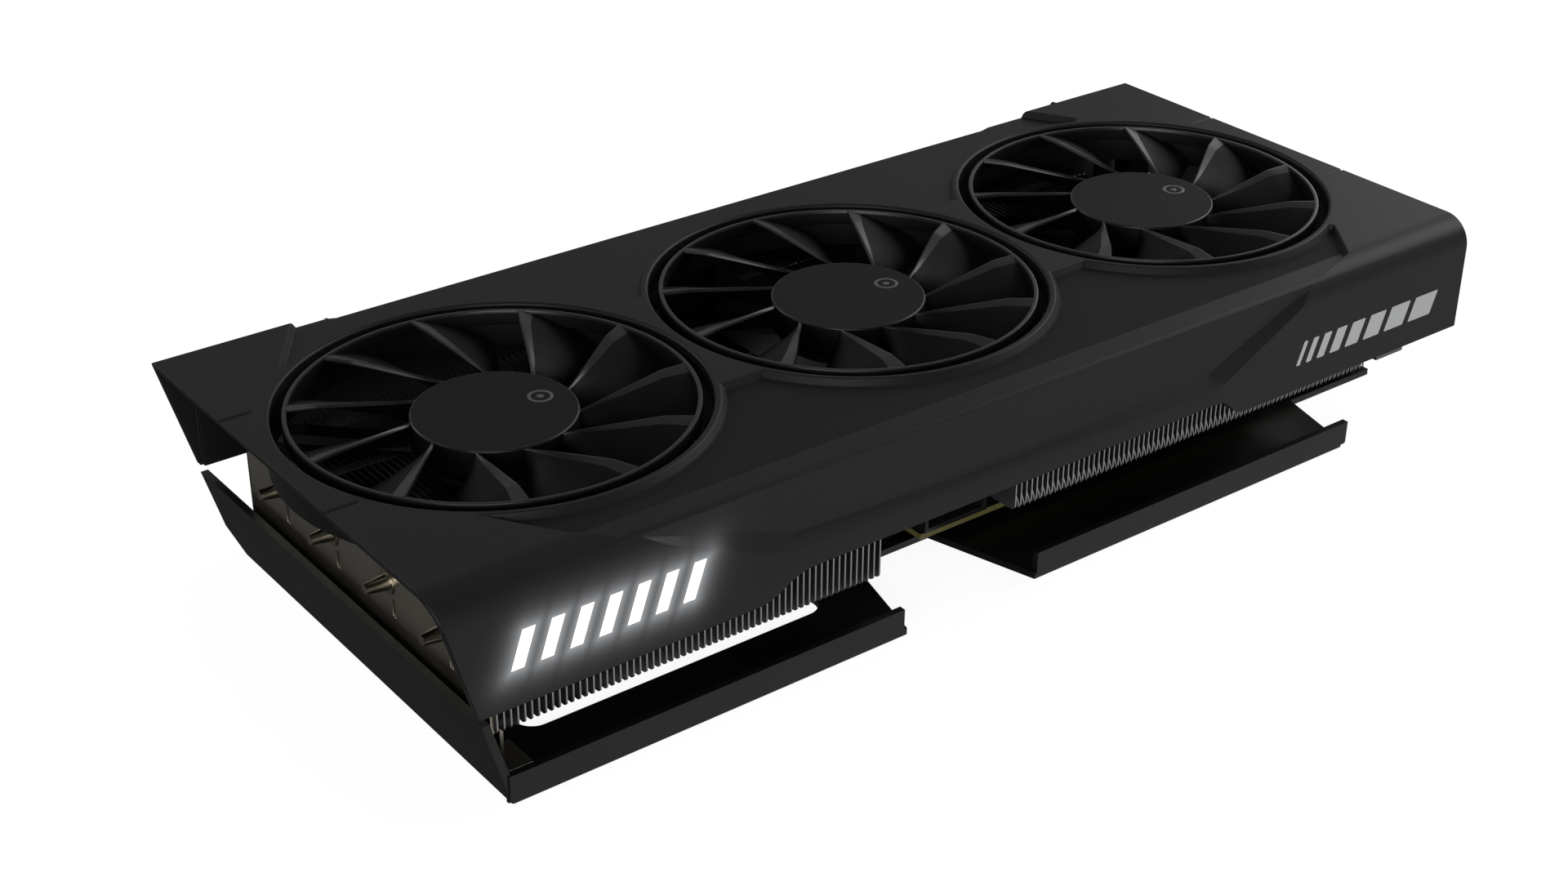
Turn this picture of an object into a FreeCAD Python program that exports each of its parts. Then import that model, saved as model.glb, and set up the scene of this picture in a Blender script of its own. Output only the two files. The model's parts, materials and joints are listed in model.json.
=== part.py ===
"""Triple-fan graphics card, modelled piece by piece as it comes apart on a bench.

Frame, in millimetres: X runs along the card, from the open raked end (-X) to the
bracket end (+X). Y runs from the near edge, where the power socket and the light
bars are (-Y), to the edge connector (+Y). Z is up, towards the fans. The origin is
on the resting plane, the underside of the backplate, below the middle fan's axis.
"""
import FreeCAD, Part
import math
import os

V = FreeCAD.Vector

# ---------------------------------------------------------------- driving dimensions
HEIGHT = 55.8              # underside of the backplate to the top of the shroud
RAKE = 0.277               # how far the open end leans in X per unit of height

# fans
ROTOR_R = 48.1             # outside of the rotor's ring
RING_WALL = 1.2
RING_HEIGHT = 4.0
TIP_GAP = 2.7              # between the ring and the shroud's opening
BLADES = 11
BLADE_T = 1.1
BLADE_DROP = 9.5           # height from the leading edges to the trailing edges
BLADE_START = 19.1         # angle of one leading edge at the ring, degrees
HUB_R = 19.7
HUB_DROP = 3.1             # hub top below the shroud's top
HUB_HEIGHT = 7.6
HUB_WALL = 1.4
CAP_R = 19.05
CAP_T = 0.5
SHAFT_R = 1.5
SHAFT_GAP = 0.03           # radial running clearance in the bearing
RING_SINK = 0.2            # ring top below the shroud's top

# shroud
WEB = 2.8                  # between two neighbouring openings
END_LEFT = 55.6            # outer fan axis to the raked end, at the top
END_RIGHT = 55.8           # outer fan axis to the bracket end
NEAR_BORDER = 17.9         # opening edge to the near wall
FAR_BORDER = 13.1          # opening edge to the far wall
WALL = 3.0
EDGE_WALL = 2.0            # thinned rim of the raked end
NEAR_ROUND = 8.0
FAR_ROUND = 1.0
WALL_BOTTOM = 24.3         # height of the near wall's lower edge
FAR_BOTTOM = 25.8
SKIRT_GAP = 0.8            # between the far wall's skirt and the board
SKIRT_PAST_LEFT = 6.0      # skirt beyond the left block's end
SKIRT_PAST_RIGHT = 30.0    # skirt beyond the right block's start
ARCH_RISE = 5.2            # the near wall's raised middle stretch
DUCT_WALL = 1.3
POCKET = 1.9               # depth of the recessed panels
COLLAR = 1.6               # flat collar left round each opening
POCKET_BEVEL = 1.2
SADDLE = 25.0              # half width of the bridge between two collars
FAR_POCKET = 1.0

# backplate
SHEET = 1.8
LIP_TOP = 7.4
FLANGE_TOP = 22.4
FLANGE_T = 2.0

# board and what sits on it
PCB_BOTTOM = 4.9
PCB_T = 1.6
PCB_LENGTH = 169.6
PCB_NEAR = -43.7
FINGER_LENGTH = 8.25
FINGER_REACH = 7.5         # fingers beyond the far wall
GPU_MARGIN = 88.2          # the chip's centre to the bracket end
GPU_Y = 8.0
GPU_SIDE = 42.0
DIE_X = 24.0
DIE_Y = 20.0
PACKAGE_T = 1.8
DIE_T = 0.8
CHIP_T = 1.2
PAD_T = 1.0

# cooler
FIN_T = 0.4
FIN_PITCH = 1.72
FIN_TOP_GAP = 15.8         # fin tops below the shroud's top
FIN_ROUND = 1.4
LEFT_BLOCK_BOTTOM = 16.4
LEFT_BLOCK_END = -41.3
LEFT_BLOCK_SHORT = 19.1    # fins to the far wall
RIGHT_BLOCK_BOTTOM = 19.8
RIGHT_BLOCK_START = 0.0
RIGHT_BLOCK_MARGIN = 33.0  # fins to the bracket end
RIGHT_BLOCK_SHORT = 5.9
PIPE_R = 3.0
PIPE_Z = 33.4
PIPE_GAP = 0.1
PLATE_T = 5.0
TIP_LENGTH = 5.2
END_PLATE_T = 1.0
FRAME_T = 1.5

# bracket
BRACKET_T = 0.86
BRACKET_WIDTH = 38.7
BRACKET_Z = 3.4
BRACKET_LENGTH = 120.0
TAB_LENGTH = 11.4

# fits and fasteners
FIT = 0.15                 # between screws and their holes
SEAT = 0.3                 # between neighbouring pieces that don't touch
SCREW_R = 1.2
HEAD_R = 2.5
BOSS_R = 3.2

# ---------------------------------------------------------------- worked-out places
OPENING_R = ROTOR_R + TIP_GAP
FAN_PITCH = 2 * OPENING_R + WEB
FAN_X = {"left": -FAN_PITCH, "middle": 0.0, "right": FAN_PITCH}
LEFT = -FAN_PITCH - END_LEFT
RIGHT = FAN_PITCH + END_RIGHT
NEAR = -OPENING_R - NEAR_BORDER
FAR = OPENING_R + FAR_BORDER
HUB_TOP = HEIGHT - HUB_DROP
HUB_BOTTOM = HUB_TOP - HUB_HEIGHT
BLADE_LOW = HEIGHT - RING_SINK - BLADE_DROP
FIN_TOP = HEIGHT - FIN_TOP_GAP
BASE_BOTTOM = FIN_TOP + 1.4          # motor bases, just above the fins
BASE_TOP = BASE_BOTTOM + 2.4
PCB_TOP = PCB_BOTTOM + PCB_T
PCB_RIGHT = RIGHT - 1.3
PCB_LEFT = PCB_RIGHT - PCB_LENGTH
GPU_X = RIGHT - GPU_MARGIN
FINGER_END = FAR + FINGER_REACH
PCB_FAR = FINGER_END - FINGER_LENGTH
DIE_TOP = PCB_TOP + PACKAGE_T + DIE_T
PLATE_BOTTOM = DIE_TOP + 0.05
PLATE_TOP = PLATE_BOTTOM + PLATE_T
LOW_PIPE_Z = PLATE_TOP + PIPE_R + PIPE_GAP
CHANNEL_TOP = LOW_PIPE_Z + PIPE_R + PIPE_GAP
FRAME_BOTTOM = PCB_TOP + CHIP_T + PAD_T
FIN_NEAR = NEAR + WALL + SEAT
LEFT_BLOCK_FAR = FAR - LEFT_BLOCK_SHORT
RIGHT_BLOCK_FAR = FAR - RIGHT_BLOCK_SHORT
STRIP = 3.0                # width of the folded strips that join the fins
BLOCK_LEFT = LEFT + RAKE * (HEIGHT - LEFT_BLOCK_BOTTOM + END_PLATE_T) + FLANGE_T + SEAT
RIGHT_BLOCK_END = RIGHT - RIGHT_BLOCK_MARGIN
PIPE_ENDS = [27.7, 3.0, -22.7, -47.4]      # pipe places across the left block
PIPE_MIDDLES = [GPU_Y + 12.0, GPU_Y + 4.0, GPU_Y - 4.0, GPU_Y - 12.0]


# ---------------------------------------------------------------- small helpers
def box(x0, x1, y0, y1, z0, z1):
    """A box between two corners."""
    return Part.makeBox(x1 - x0, y1 - y0, z1 - z0, V(x0, y0, z0))


def rod(x, y, z0, z1, r):
    """An upright cylinder."""
    return Part.makeCylinder(r, z1 - z0, V(x, y, z0))


def cone(x, y, z0, z1, r0, r1):
    """An upright cone, r0 at z0 and r1 at z1."""
    return Part.makeCone(r0, r1, z1 - z0, V(x, y, z0))


def tube(x, y, z0, z1, r_in, r_out):
    """An upright tube."""
    return rod(x, y, z0, z1, r_out).cut(rod(x, y, z0 - 1, z1 + 1, r_in))


def polygon(points):
    """A closed wire through 3-D points."""
    corners = [V(*p) for p in points]
    return Part.makePolygon(corners + corners[:1])


def prism_xy(points, z0, z1):
    """An (x, y) outline pulled from z0 to z1."""
    face = Part.Face(polygon([(x, y, z0) for x, y in points]))
    return face.extrude(V(0, 0, z1 - z0))


def prism_xz(points, y0, y1):
    """An (x, z) outline pulled from y0 to y1."""
    face = Part.Face(polygon([(x, y0, z) for x, z in points]))
    return face.extrude(V(0, y1 - y0, 0))


def prism_yz(points, x0, x1):
    """A (y, z) outline pulled from x0 to x1."""
    face = Part.Face(polygon([(x0, y, z) for y, z in points]))
    return face.extrude(V(x1 - x0, 0, 0))


def loft(sections):
    """A solid ruled through closed polygons of equal length."""
    return Part.makeLoft([polygon(s) for s in sections], True, True)


def fuse(shapes):
    """One solid from overlapping shapes."""
    first, *rest = shapes
    return first.multiFuse(rest) if rest else first


def cut(shape, tools):
    """A shape less every tool."""
    return shape.cut(Part.makeCompound(tools)) if len(tools) > 1 else shape.cut(tools[0])


def export(name, shape):
    """Write one node, and check that every solid in it is closed and valid."""
    if not shape.isValid() or not shape.Solids:
        raise ValueError(f"{name} is not a valid solid")
    solids = shape.Solids
    whole = solids[0] if len(solids) == 1 else Part.makeCompound(solids)
    whole.exportStep(f"parts/{name}.step")
    print(f"{name:22s} {len(solids):3d} solids {whole.Volume / 1000:9.2f} cm3")


def rake_x(z):
    """X of the raked end's plane at a height."""
    return LEFT + RAKE * (HEIGHT - z)


# ---------------------------------------------------------------- shroud
def shroud_section(inset, x0, x1, bottom=-5.0):
    """The shroud's cross-section, inset all round, pulled from x0 to x1."""
    y0, y1, top = NEAR + inset, FAR - inset, HEIGHT - inset
    near_r = max(NEAR_ROUND - inset, 0.6)
    far_r = max(FAR_ROUND - inset, 0.4)
    k = math.sqrt(0.5)
    near_arc = Part.Arc(V(x0, y0, top - near_r),
                        V(x0, y0 + near_r * (1 - k), top - near_r * (1 - k)),
                        V(x0, y0 + near_r, top))
    far_arc = Part.Arc(V(x0, y1 - far_r, top),
                       V(x0, y1 - far_r * (1 - k), top - far_r * (1 - k)),
                       V(x0, y1, top - far_r))
    lines = [
        Part.LineSegment(V(x0, y0, bottom), V(x0, y0, top - near_r)),
        near_arc,
        Part.LineSegment(V(x0, y0 + near_r, top), V(x0, y1 - far_r, top)),
        far_arc,
        Part.LineSegment(V(x0, y1, top - far_r), V(x0, y1, bottom)),
        Part.LineSegment(V(x0, y1, bottom), V(x0, y0, bottom)),
    ]
    face = Part.Face(Part.Wire([line.toShape() for line in lines]))
    return face.extrude(V(x1 - x0, 0, 0))


def near_edge_cut():
    """Everything under the near wall's lower edge, with its raised middle stretch."""
    start, arch_left = LEFT - 5, [-FAN_PITCH + 23.8, -FAN_PITCH + 41.0]
    arch_right = [FAN_PITCH - 39.1, FAN_PITCH - 28.1]
    z0, z1 = WALL_BOTTOM, WALL_BOTTOM + ARCH_RISE

    def line(a, b):
        return Part.LineSegment(V(a[0], 0, a[1]), V(b[0], 0, b[1])).toShape()

    def s_curve(xa, za, xb, zb):
        middle = (xa + xb) / 2
        curve = Part.BezierCurve()
        curve.setPoles([V(xa, 0, za), V(middle, 0, za), V(middle, 0, zb), V(xb, 0, zb)])
        return curve.toShape()

    edges = [
        line((start, -10), (start, z0)),
        line((start, z0), (arch_left[0], z0)),
        s_curve(arch_left[0], z0, arch_left[1], z1),
        line((arch_left[1], z1), (arch_right[0], z1)),
        s_curve(arch_right[0], z1, arch_right[1], z0),
        line((arch_right[1], z0), (RIGHT + 5, z0)),
        line((RIGHT + 5, z0), (RIGHT + 5, -10)),
        line((RIGHT + 5, -10), (start, -10)),
    ]
    face = Part.Face(Part.Wire(edges))
    face.translate(V(0, NEAR - 5, 0))
    return face.extrude(V(0, WALL + 10, 0))


def collar_keepers(side):
    """What a recessed panel leaves standing: collars, and the bridges between them."""
    floor, top = HEIGHT - POCKET, HEIGHT + 1.0
    r_top = OPENING_R + COLLAR
    r_floor = r_top + POCKET_BEVEL
    r_above = r_top - POCKET_BEVEL / POCKET
    keep = [cone(x, 0, floor, top, r_floor, r_above) for x in FAN_X.values()]
    edge = SADDLE + POCKET_BEVEL
    edge_top = SADDLE - POCKET_BEVEL / POCKET
    outline = [(side * 5, floor), (side * edge, floor), (side * edge_top, top), (side * 5, top)]
    for middle in (-FAN_PITCH / 2, FAN_PITCH / 2):
        keep.append(prism_yz(outline, middle - 12.0, middle + 12.0))
    return keep


def top_recess(side):
    """The recessed panel's cut in the top: side -1 is near, +1 is far."""
    a, c = -FAN_PITCH, FAN_PITCH
    if side < 0:
        outline = [(a - 31.6, -40.7), (a - 24.4, -52.0), (a - 18.2, NEAR + 7.7),
                   (a - 9.6, NEAR + 2.2), (a + 2.0, NEAR - 6.0), (c - 12.0, NEAR - 6.0),
                   (c - 0.5, NEAR + 2.6), (c + 13.1, NEAR + 6.0), (c + 23.9, -48.5)]
    else:
        outline = [(a - 32.0, 44.4), (a - 17.0, FAR + 3.0), (c + 12.5, FAR + 3.0), (c + 22.6, 50.0)]
    inner = [(a + 20.0, side * 15.0), (c - 20.0, side * 15.0)]
    outline = outline + inner[::-1]
    shrink = POCKET_BEVEL
    sections = []
    for z, s in ((HEIGHT - POCKET, shrink), (HEIGHT + 1.0, -shrink / POCKET)):
        points = []
        for x, y in outline:
            dx = -s if x > 0 else s
            points.append((x + dx, y, z))
        sections.append(points)
    return loft(sections).cut(Part.makeCompound(collar_keepers(side)))


def wall_recess(side):
    """The recessed panel's cut in the near (-1) or far (+1) wall."""
    a, c = -FAN_PITCH, FAN_PITCH
    outer = [(a - 9.4, HEIGHT - 2.0), (a + 32.1, WALL_BOTTOM + 10.9),
             (c - 40.7, WALL_BOTTOM + 9.8), (c - 36.8, WALL_BOTTOM + 10.6),
             (c - 0.2, HEIGHT - 2.2), (c - 0.2, HEIGHT + 4.0), (a - 9.4, HEIGHT + 4.0)]
    floor = [(a - 8.4, HEIGHT - 1.6), (a + 36.0, WALL_BOTTOM + 14.8),
             (c - 43.5, WALL_BOTTOM + 13.6), (c - 40.5, WALL_BOTTOM + 14.2),
             (c - 3.6, HEIGHT - 1.9), (c - 3.6, HEIGHT + 4.0), (a - 8.4, HEIGHT + 4.0)]
    depth = POCKET if side < 0 else FAR_POCKET
    wall = NEAR if side < 0 else FAR
    grow = 1.0 / depth
    beyond = [(xo + (xo - xf) * grow, zo + (zo - zf) * grow)
              for (xo, zo), (xf, zf) in zip(outer, floor)]
    sections = [[(x, wall - side * depth, z) for x, z in floor],
                [(x, wall + side * 1.0, z) for x, z in beyond]]
    return loft(sections)


FAN_SCREW_R = OPENING_R + 5.0
FAN_SCREW_ANGLES = (45, 135, 225, 315)
FAN_SCREWS = [(x + FAN_SCREW_R * math.cos(math.radians(a)),
               FAN_SCREW_R * math.sin(math.radians(a)))
              for x in FAN_X.values() for a in FAN_SCREW_ANGLES]
POST_LEFT = (LEFT + 22.0, FAR - 8.0)
POSTS_RIGHT = [(RIGHT - 8.2, PCB_NEAR + 3.8), (RIGHT - 16.0, FAR - 10.0)]
POST_JOIN = WALL_BOTTOM + 0.2
STUB_X = FAN_PITCH + 26.5
STUB_R = 1.2

LIGHTS = 7
LIGHT_PITCH = 7.2
LIGHT_X = LEFT + 17.0
LIGHT_LOW = WALL_BOTTOM + 9.1
LIGHT_HIGH = WALL_BOTTOM + 18.1
LIGHT_WIDTH = 3.0
LIGHT_LEAN = 3.2


def light_bar(index, grow, y0, y1):
    """One leaning bar of the light strip, grown all round by a clearance."""
    x = LIGHT_X + index * LIGHT_PITCH
    z0, z1 = LIGHT_LOW - grow, LIGHT_HIGH + grow
    outline = [(x - grow, z0), (x + LIGHT_WIDTH + grow, z0),
               (x + LIGHT_WIDTH + LIGHT_LEAN + grow, z1), (x + LIGHT_LEAN - grow, z1)]
    return prism_xz(outline, y0, y1)


def make_shroud():
    """The one-piece plastic cover: an inverted trough with three ducts."""
    body = shroud_section(0, LEFT - 1, RIGHT)
    shell = body.cut(shroud_section(WALL, LEFT - 10, RIGHT + 5, -6))
    rim_run = 9.0
    added = []
    for x in FAN_X.values():
        added.append(rod(x, 0, BASE_TOP, HEIGHT - 0.5, OPENING_R + DUCT_WALL))
    shell = cut(shell, [shroud_section(EDGE_WALL, LEFT - 10, LEFT + rim_run, -6)])
    for x, y in FAN_SCREWS:
        added.append(rod(x, y, BASE_TOP, HEIGHT - 2.5, BOSS_R))
    added.append(rod(*POST_LEFT, POST_JOIN, HEIGHT - 1.5, BOSS_R + 0.6))
    for x, y in POSTS_RIGHT:
        added.append(rod(x, y, PCB_TOP, HEIGHT - 1.5, BOSS_R))
    stub = Part.makeCylinder(STUB_R, 2.0, V(STUB_X, FAR - 1.2, HEIGHT - STUB_R - 0.1), V(0, 1, 0))
    shell = fuse([shell, stub] + added)

    rake = prism_xz([(rake_x(-10), -10), (rake_x(HEIGHT + 5), HEIGHT + 5),
                     (LEFT - 20, HEIGHT + 5), (LEFT - 20, -10)], NEAR - 5, FAR + 5)
    skirt = box(LEFT_BLOCK_END - SKIRT_PAST_LEFT, RIGHT_BLOCK_START + SKIRT_PAST_RIGHT,
                FAR - WALL - 1, FAR + 6, PCB_TOP + SKIRT_GAP, FAR_BOTTOM + 1)
    kept = [skirt, rod(*POST_LEFT, -20, 60, BOSS_R + 1)]
    kept += [rod(x, y, -20, 60, BOSS_R + 1) for x, y in POSTS_RIGHT]
    below = box(LEFT - 5, RIGHT + 5, FAR - WALL - 5, FAR + 5, -10, FAR_BOTTOM)
    tools = [rake, near_edge_cut(), cut(below, kept)]
    for x in FAN_X.values():
        tools.append(rod(x, 0, -10, HEIGHT + 5, OPENING_R))
        tools.append(cone(x, 0, HEIGHT - 0.5, HEIGHT + 0.5, OPENING_R, OPENING_R + 1.0))
    for x, y in FAN_SCREWS:
        tools.append(rod(x, y, BASE_TOP - 1, BASE_TOP + 5.0, SCREW_R - 0.1))
    tools.append(rod(*POST_LEFT, POST_JOIN - 1, POST_JOIN + 8.0, SCREW_R + FIT))
    for x, y in POSTS_RIGHT:
        tools.append(rod(x, y, PCB_TOP - 1, PCB_TOP + 6.0, SCREW_R + FIT))
    for index in range(LIGHTS):
        tools.append(light_bar(index, FIT / 2, NEAR - 1, NEAR + WALL + 0.5))
    groove_depth, groove_half, groove_run = 0.5, 0.7, 8.0
    for y in (26.9, -23.4):
        tools.append(prism_yz([(y - groove_half, HEIGHT + 0.1), (y, HEIGHT - groove_depth),
                               (y + groove_half, HEIGHT + 0.1)], LEFT - 5, LEFT + groove_run))
        tools.append(prism_yz([(y - groove_half, HEIGHT + 0.1), (y, HEIGHT - groove_depth),
                               (y + groove_half, HEIGHT + 0.1)], RIGHT - groove_run, RIGHT + 5))
    shell = cut(shell, tools)
    for side in (-1, 1):
        shell = shell.cut(top_recess(side))
        shell = shell.cut(wall_recess(side))
    return shell


# ---------------------------------------------------------------- fans
def blade_section(d):
    """One section of a blade across its length, at distance d from the axis."""
    kink = 0.84 * ROTOR_R
    root = 0.39 * ROTOR_R
    tip = 0.985 * ROTOR_R
    top_root, top = HUB_TOP - 0.05, HEIGHT - RING_SINK - 0.1
    lead_root, lead_kink = -0.143 * ROTOR_R, -0.026 * ROTOR_R
    trail_root, trail_mid, trail_tip = -0.178 * ROTOR_R, -0.289 * ROTOR_R, -0.450 * ROTOR_R
    middle = 0.565 * ROTOR_R

    def between(x, x0, x1, y0, y1):
        return y0 + (y1 - y0) * (x - x0) / (x1 - x0)

    if d < kink:
        lead = between(d, root, kink, lead_root, lead_kink)
        z_lead = between(max(d, root), root, kink, top_root, top)
    else:
        lead = between(d, kink, tip, lead_kink, 0.0)
        z_lead = top
    if d < middle:
        trail = between(d, root, middle, trail_root, trail_mid)
    else:
        trail = between(d, middle, tip, trail_mid, trail_tip)
    z_trail = BLADE_LOW
    run, rise = trail - lead, z_trail - z_lead
    length = math.hypot(run, rise)
    nx, nz = -rise / length, run / length
    half, bow = BLADE_T / 2, 0.05 * length
    path = [(lead, z_lead), (lead + run / 2 - nx * bow, z_lead + rise / 2 - nz * bow), (trail, z_trail)]
    upper = [(d, t + nx * half, z + nz * half) for t, z in path]
    lower = [(d, t - nx * half, z - nz * half) for t, z in path]
    return upper + lower[::-1]


def make_rotor(x):
    """Hub cup, eleven swept blades and the outer ring, moulded as one."""
    ring_top = HEIGHT - RING_SINK
    cup = rod(x, 0, HUB_BOTTOM, HUB_TOP, HUB_R)
    ring = tube(x, 0, ring_top - RING_HEIGHT, ring_top, ROTOR_R - RING_WALL, ROTOR_R)
    stations = [0.33 * ROTOR_R, 0.565 * ROTOR_R, 0.84 * ROTOR_R, 1.03 * ROTOR_R]
    blade = loft([blade_section(d) for d in stations])
    reach = rod(0, 0, BLADE_LOW - 1, ring_top - 0.05, ROTOR_R - 0.4)
    blade = blade.common(reach)
    blades = []
    for k in range(BLADES):
        turned = blade.copy()
        turned.rotate(V(0, 0, 0), V(0, 0, 1), BLADE_START + k * 360.0 / BLADES)
        turned.translate(V(x, 0, 0))
        blades.append(turned)
    rotor = fuse([cup, ring] + blades)
    hollow = rod(x, 0, HUB_BOTTOM - 10, HUB_TOP - HUB_WALL, HUB_R - HUB_WALL)
    recess = rod(x, 0, HUB_TOP - CAP_T, HUB_TOP + 1, CAP_R + 0.1)
    bore = rod(x, 0, HUB_TOP - HUB_WALL - 1, HUB_TOP, SHAFT_R + 0.02)
    return cut(rotor, [hollow, recess, bore])


def make_fan(side, x):
    """One fan: rotor, its cap, magnet ring and shaft, then the fixed motor pieces."""
    export(f"fan_rotor_{side}", make_rotor(x))
    export(f"hub_cap_{side}", rod(x, 0, HUB_TOP - CAP_T, HUB_TOP - 0.02, CAP_R))
    cup_in = HUB_R - HUB_WALL
    roof = HUB_TOP - HUB_WALL
    export(f"magnet_ring_{side}", tube(x, 0, HUB_BOTTOM + 0.4, roof, cup_in - 3.4, cup_in - 0.05))
    shaft_low = BASE_BOTTOM + 1.0
    export(f"fan_shaft_{side}", rod(x, 0, shaft_low, HUB_TOP - CAP_T, SHAFT_R))

    post_r, sleeve_r = 3.8, 2.9
    post_top = roof - 0.8
    disc_top = BASE_TOP - 0.6
    socket_floor = BASE_BOTTOM + 0.6
    base = rod(x, 0, BASE_BOTTOM, disc_top, HUB_R - 2.2)
    arm_half = 2.6
    parts = [base, rod(x, 0, BASE_BOTTOM, post_top, post_r)]
    for angle in FAN_SCREW_ANGLES:
        arm = box(0, FAN_SCREW_R, -arm_half, arm_half, BASE_BOTTOM, BASE_TOP)
        arm = arm.cut(rod(0, 0, disc_top, BASE_TOP + 1, HUB_R + 0.6))
        arm = arm.fuse(rod(FAN_SCREW_R, 0, BASE_BOTTOM, BASE_TOP, BOSS_R))
        arm.rotate(V(0, 0, 0), V(0, 0, 1), angle)
        arm.translate(V(x, 0, 0))
        parts.append(arm)
    base = fuse(parts)
    holes = [rod(x, 0, socket_floor, post_top + 1, sleeve_r + 0.03)]
    for angle in FAN_SCREW_ANGLES:
        a = math.radians(angle)
        holes.append(rod(x + FAN_SCREW_R * math.cos(a), FAN_SCREW_R * math.sin(a),
                         BASE_BOTTOM - 1, BASE_TOP + 1, SCREW_R + FIT))
    export(f"motor_base_{side}", cut(base, holes))
    sleeve = tube(x, 0, socket_floor, post_top, SHAFT_R + SHAFT_GAP, sleeve_r)
    export(f"sleeve_bearing_{side}", sleeve)

    core_low, core_high = disc_top, roof - 1.1
    teeth, shoe_r = 9, cup_in - 4.1
    shapes = [tube(x, 0, core_low, core_high, post_r + 0.1, 6.4)]
    for k in range(teeth):
        tooth = box(5.5, shoe_r - 0.6, -1.5, 1.5, core_low, core_high)
        coil = box(7.0, shoe_r - 2.0, -2.1, 2.1, core_low, core_high)
        shoe = tube(0, 0, core_low, core_high, shoe_r - 1.2, shoe_r)
        shoe = shoe.common(box(0, shoe_r + 1, -3.6, 3.6, core_low - 1, core_high + 1))
        arm = fuse([tooth, coil, shoe])
        arm.rotate(V(0, 0, 0), V(0, 0, 1), k * 360.0 / teeth)
        arm.translate(V(x, 0, 0))
        shapes.append(arm)
    export(f"stator_{side}", fuse(shapes))


def make_fan_screws():
    """Twelve screws that hold the motor bases to the shroud's bosses."""
    screws = []
    for x, y in FAN_SCREWS:
        head = rod(x, y, BASE_BOTTOM - 1.0, BASE_BOTTOM, HEAD_R - 0.2)
        shank = rod(x, y, BASE_BOTTOM - 0.1, BASE_TOP + 4.5, SCREW_R - 0.15)
        screws.append(head.fuse(shank))
    return Part.makeCompound(screws)


# ---------------------------------------------------------------- lights
LIGHT_PLATE_BACK = NEAR + WALL + 1.5


def make_light_guide():
    """The clear guide behind the near wall, with a bar through each slot."""
    right = LIGHT_X + LIGHTS * LIGHT_PITCH + LIGHT_LEAN - 2.0
    plate = box(LIGHT_X - 2.0, right, NEAR + WALL, LIGHT_PLATE_BACK, LIGHT_LOW - 1.5, LIGHT_HIGH + 1.5)
    bars = [light_bar(k, 0, NEAR + 0.1, NEAR + WALL + 0.5) for k in range(LIGHTS)]
    return fuse([plate] + bars)


def make_light_board():
    """The strip of circuit board with one lamp behind each bar."""
    right = LIGHT_X + LIGHTS * LIGHT_PITCH + LIGHT_LEAN - 2.0
    y0 = LIGHT_PLATE_BACK + 0.7
    board = box(LIGHT_X - 2.0, right, y0, y0 + 0.8, LIGHT_LOW, LIGHT_HIGH)
    lamps = []
    for k in range(LIGHTS):
        x = LIGHT_X + k * LIGHT_PITCH + LIGHT_WIDTH
        z = (LIGHT_LOW + LIGHT_HIGH) / 2
        lamps.append(box(x - 1.7, x + 1.7, LIGHT_PLATE_BACK + 0.1, y0 + 0.1, z - 1.7, z + 1.7))
    return fuse([board] + lamps)


# ---------------------------------------------------------------- cooler
def fin_plate(outline, holes, x):
    """One fin from its (y, z) outline, with pipe holes."""
    plate = prism_yz(outline, x, x + FIN_T)
    if holes:
        tools = [Part.makeCylinder(PIPE_R + PIPE_GAP, 2, V(x - 1, y, z), V(1, 0, 0)) for y, z in holes]
        plate = cut(plate, tools)
    return plate


def fin_stack(x0, x1, outline, holes, strips):
    """Fins at an even pitch, joined by the folded strips that space them."""
    count = int((x1 - x0 - FIN_T) / FIN_PITCH) + 1
    first = fin_plate(outline, holes, x0)
    fins = []
    for k in range(count):
        fin = first.copy()
        fin.translate(V(k * FIN_PITCH, 0, 0))
        fins.append(fin)
    last = x0 + (count - 1) * FIN_PITCH + FIN_T
    for y0, y1, z0, z1 in strips:
        fins.append(box(x0, last, y0, y1, z0, z1))
    return fuse(fins)


def rounded_corner(y, z, r, start):
    """Points of a quarter round about (y, z)."""
    return [(y + r * math.cos(math.radians(start + a)), z + r * math.sin(math.radians(start + a)))
            for a in (0, 30, 60, 90)]


def make_left_fins():
    """The left block, whose air leaves through the backplate's window."""
    low, r = LEFT_BLOCK_BOTTOM, FIN_ROUND
    notch_y = LIGHT_PLATE_BACK + 2.2
    notch_z = LIGHT_LOW - 2.5
    outline = rounded_corner(FIN_NEAR + r, low + r, r, 180)
    outline += [(LEFT_BLOCK_FAR, low), (LEFT_BLOCK_FAR, FIN_TOP), (notch_y, FIN_TOP),
                (notch_y, notch_z), (FIN_NEAR, notch_z)]
    holes = [(y, PIPE_Z) for y in PIPE_ENDS]
    strips = []
    for y in (FIN_NEAR + 11.4, -30.0, 15.0, LEFT_BLOCK_FAR - 8.8):
        strips.append((y, y + STRIP, FIN_TOP - FIN_T, FIN_TOP))
        strips.append((y, y + STRIP, low, low + FIN_T))
    start = BLOCK_LEFT + END_PLATE_T
    return fin_stack(start, LEFT_BLOCK_END, outline, holes, strips)


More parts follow.
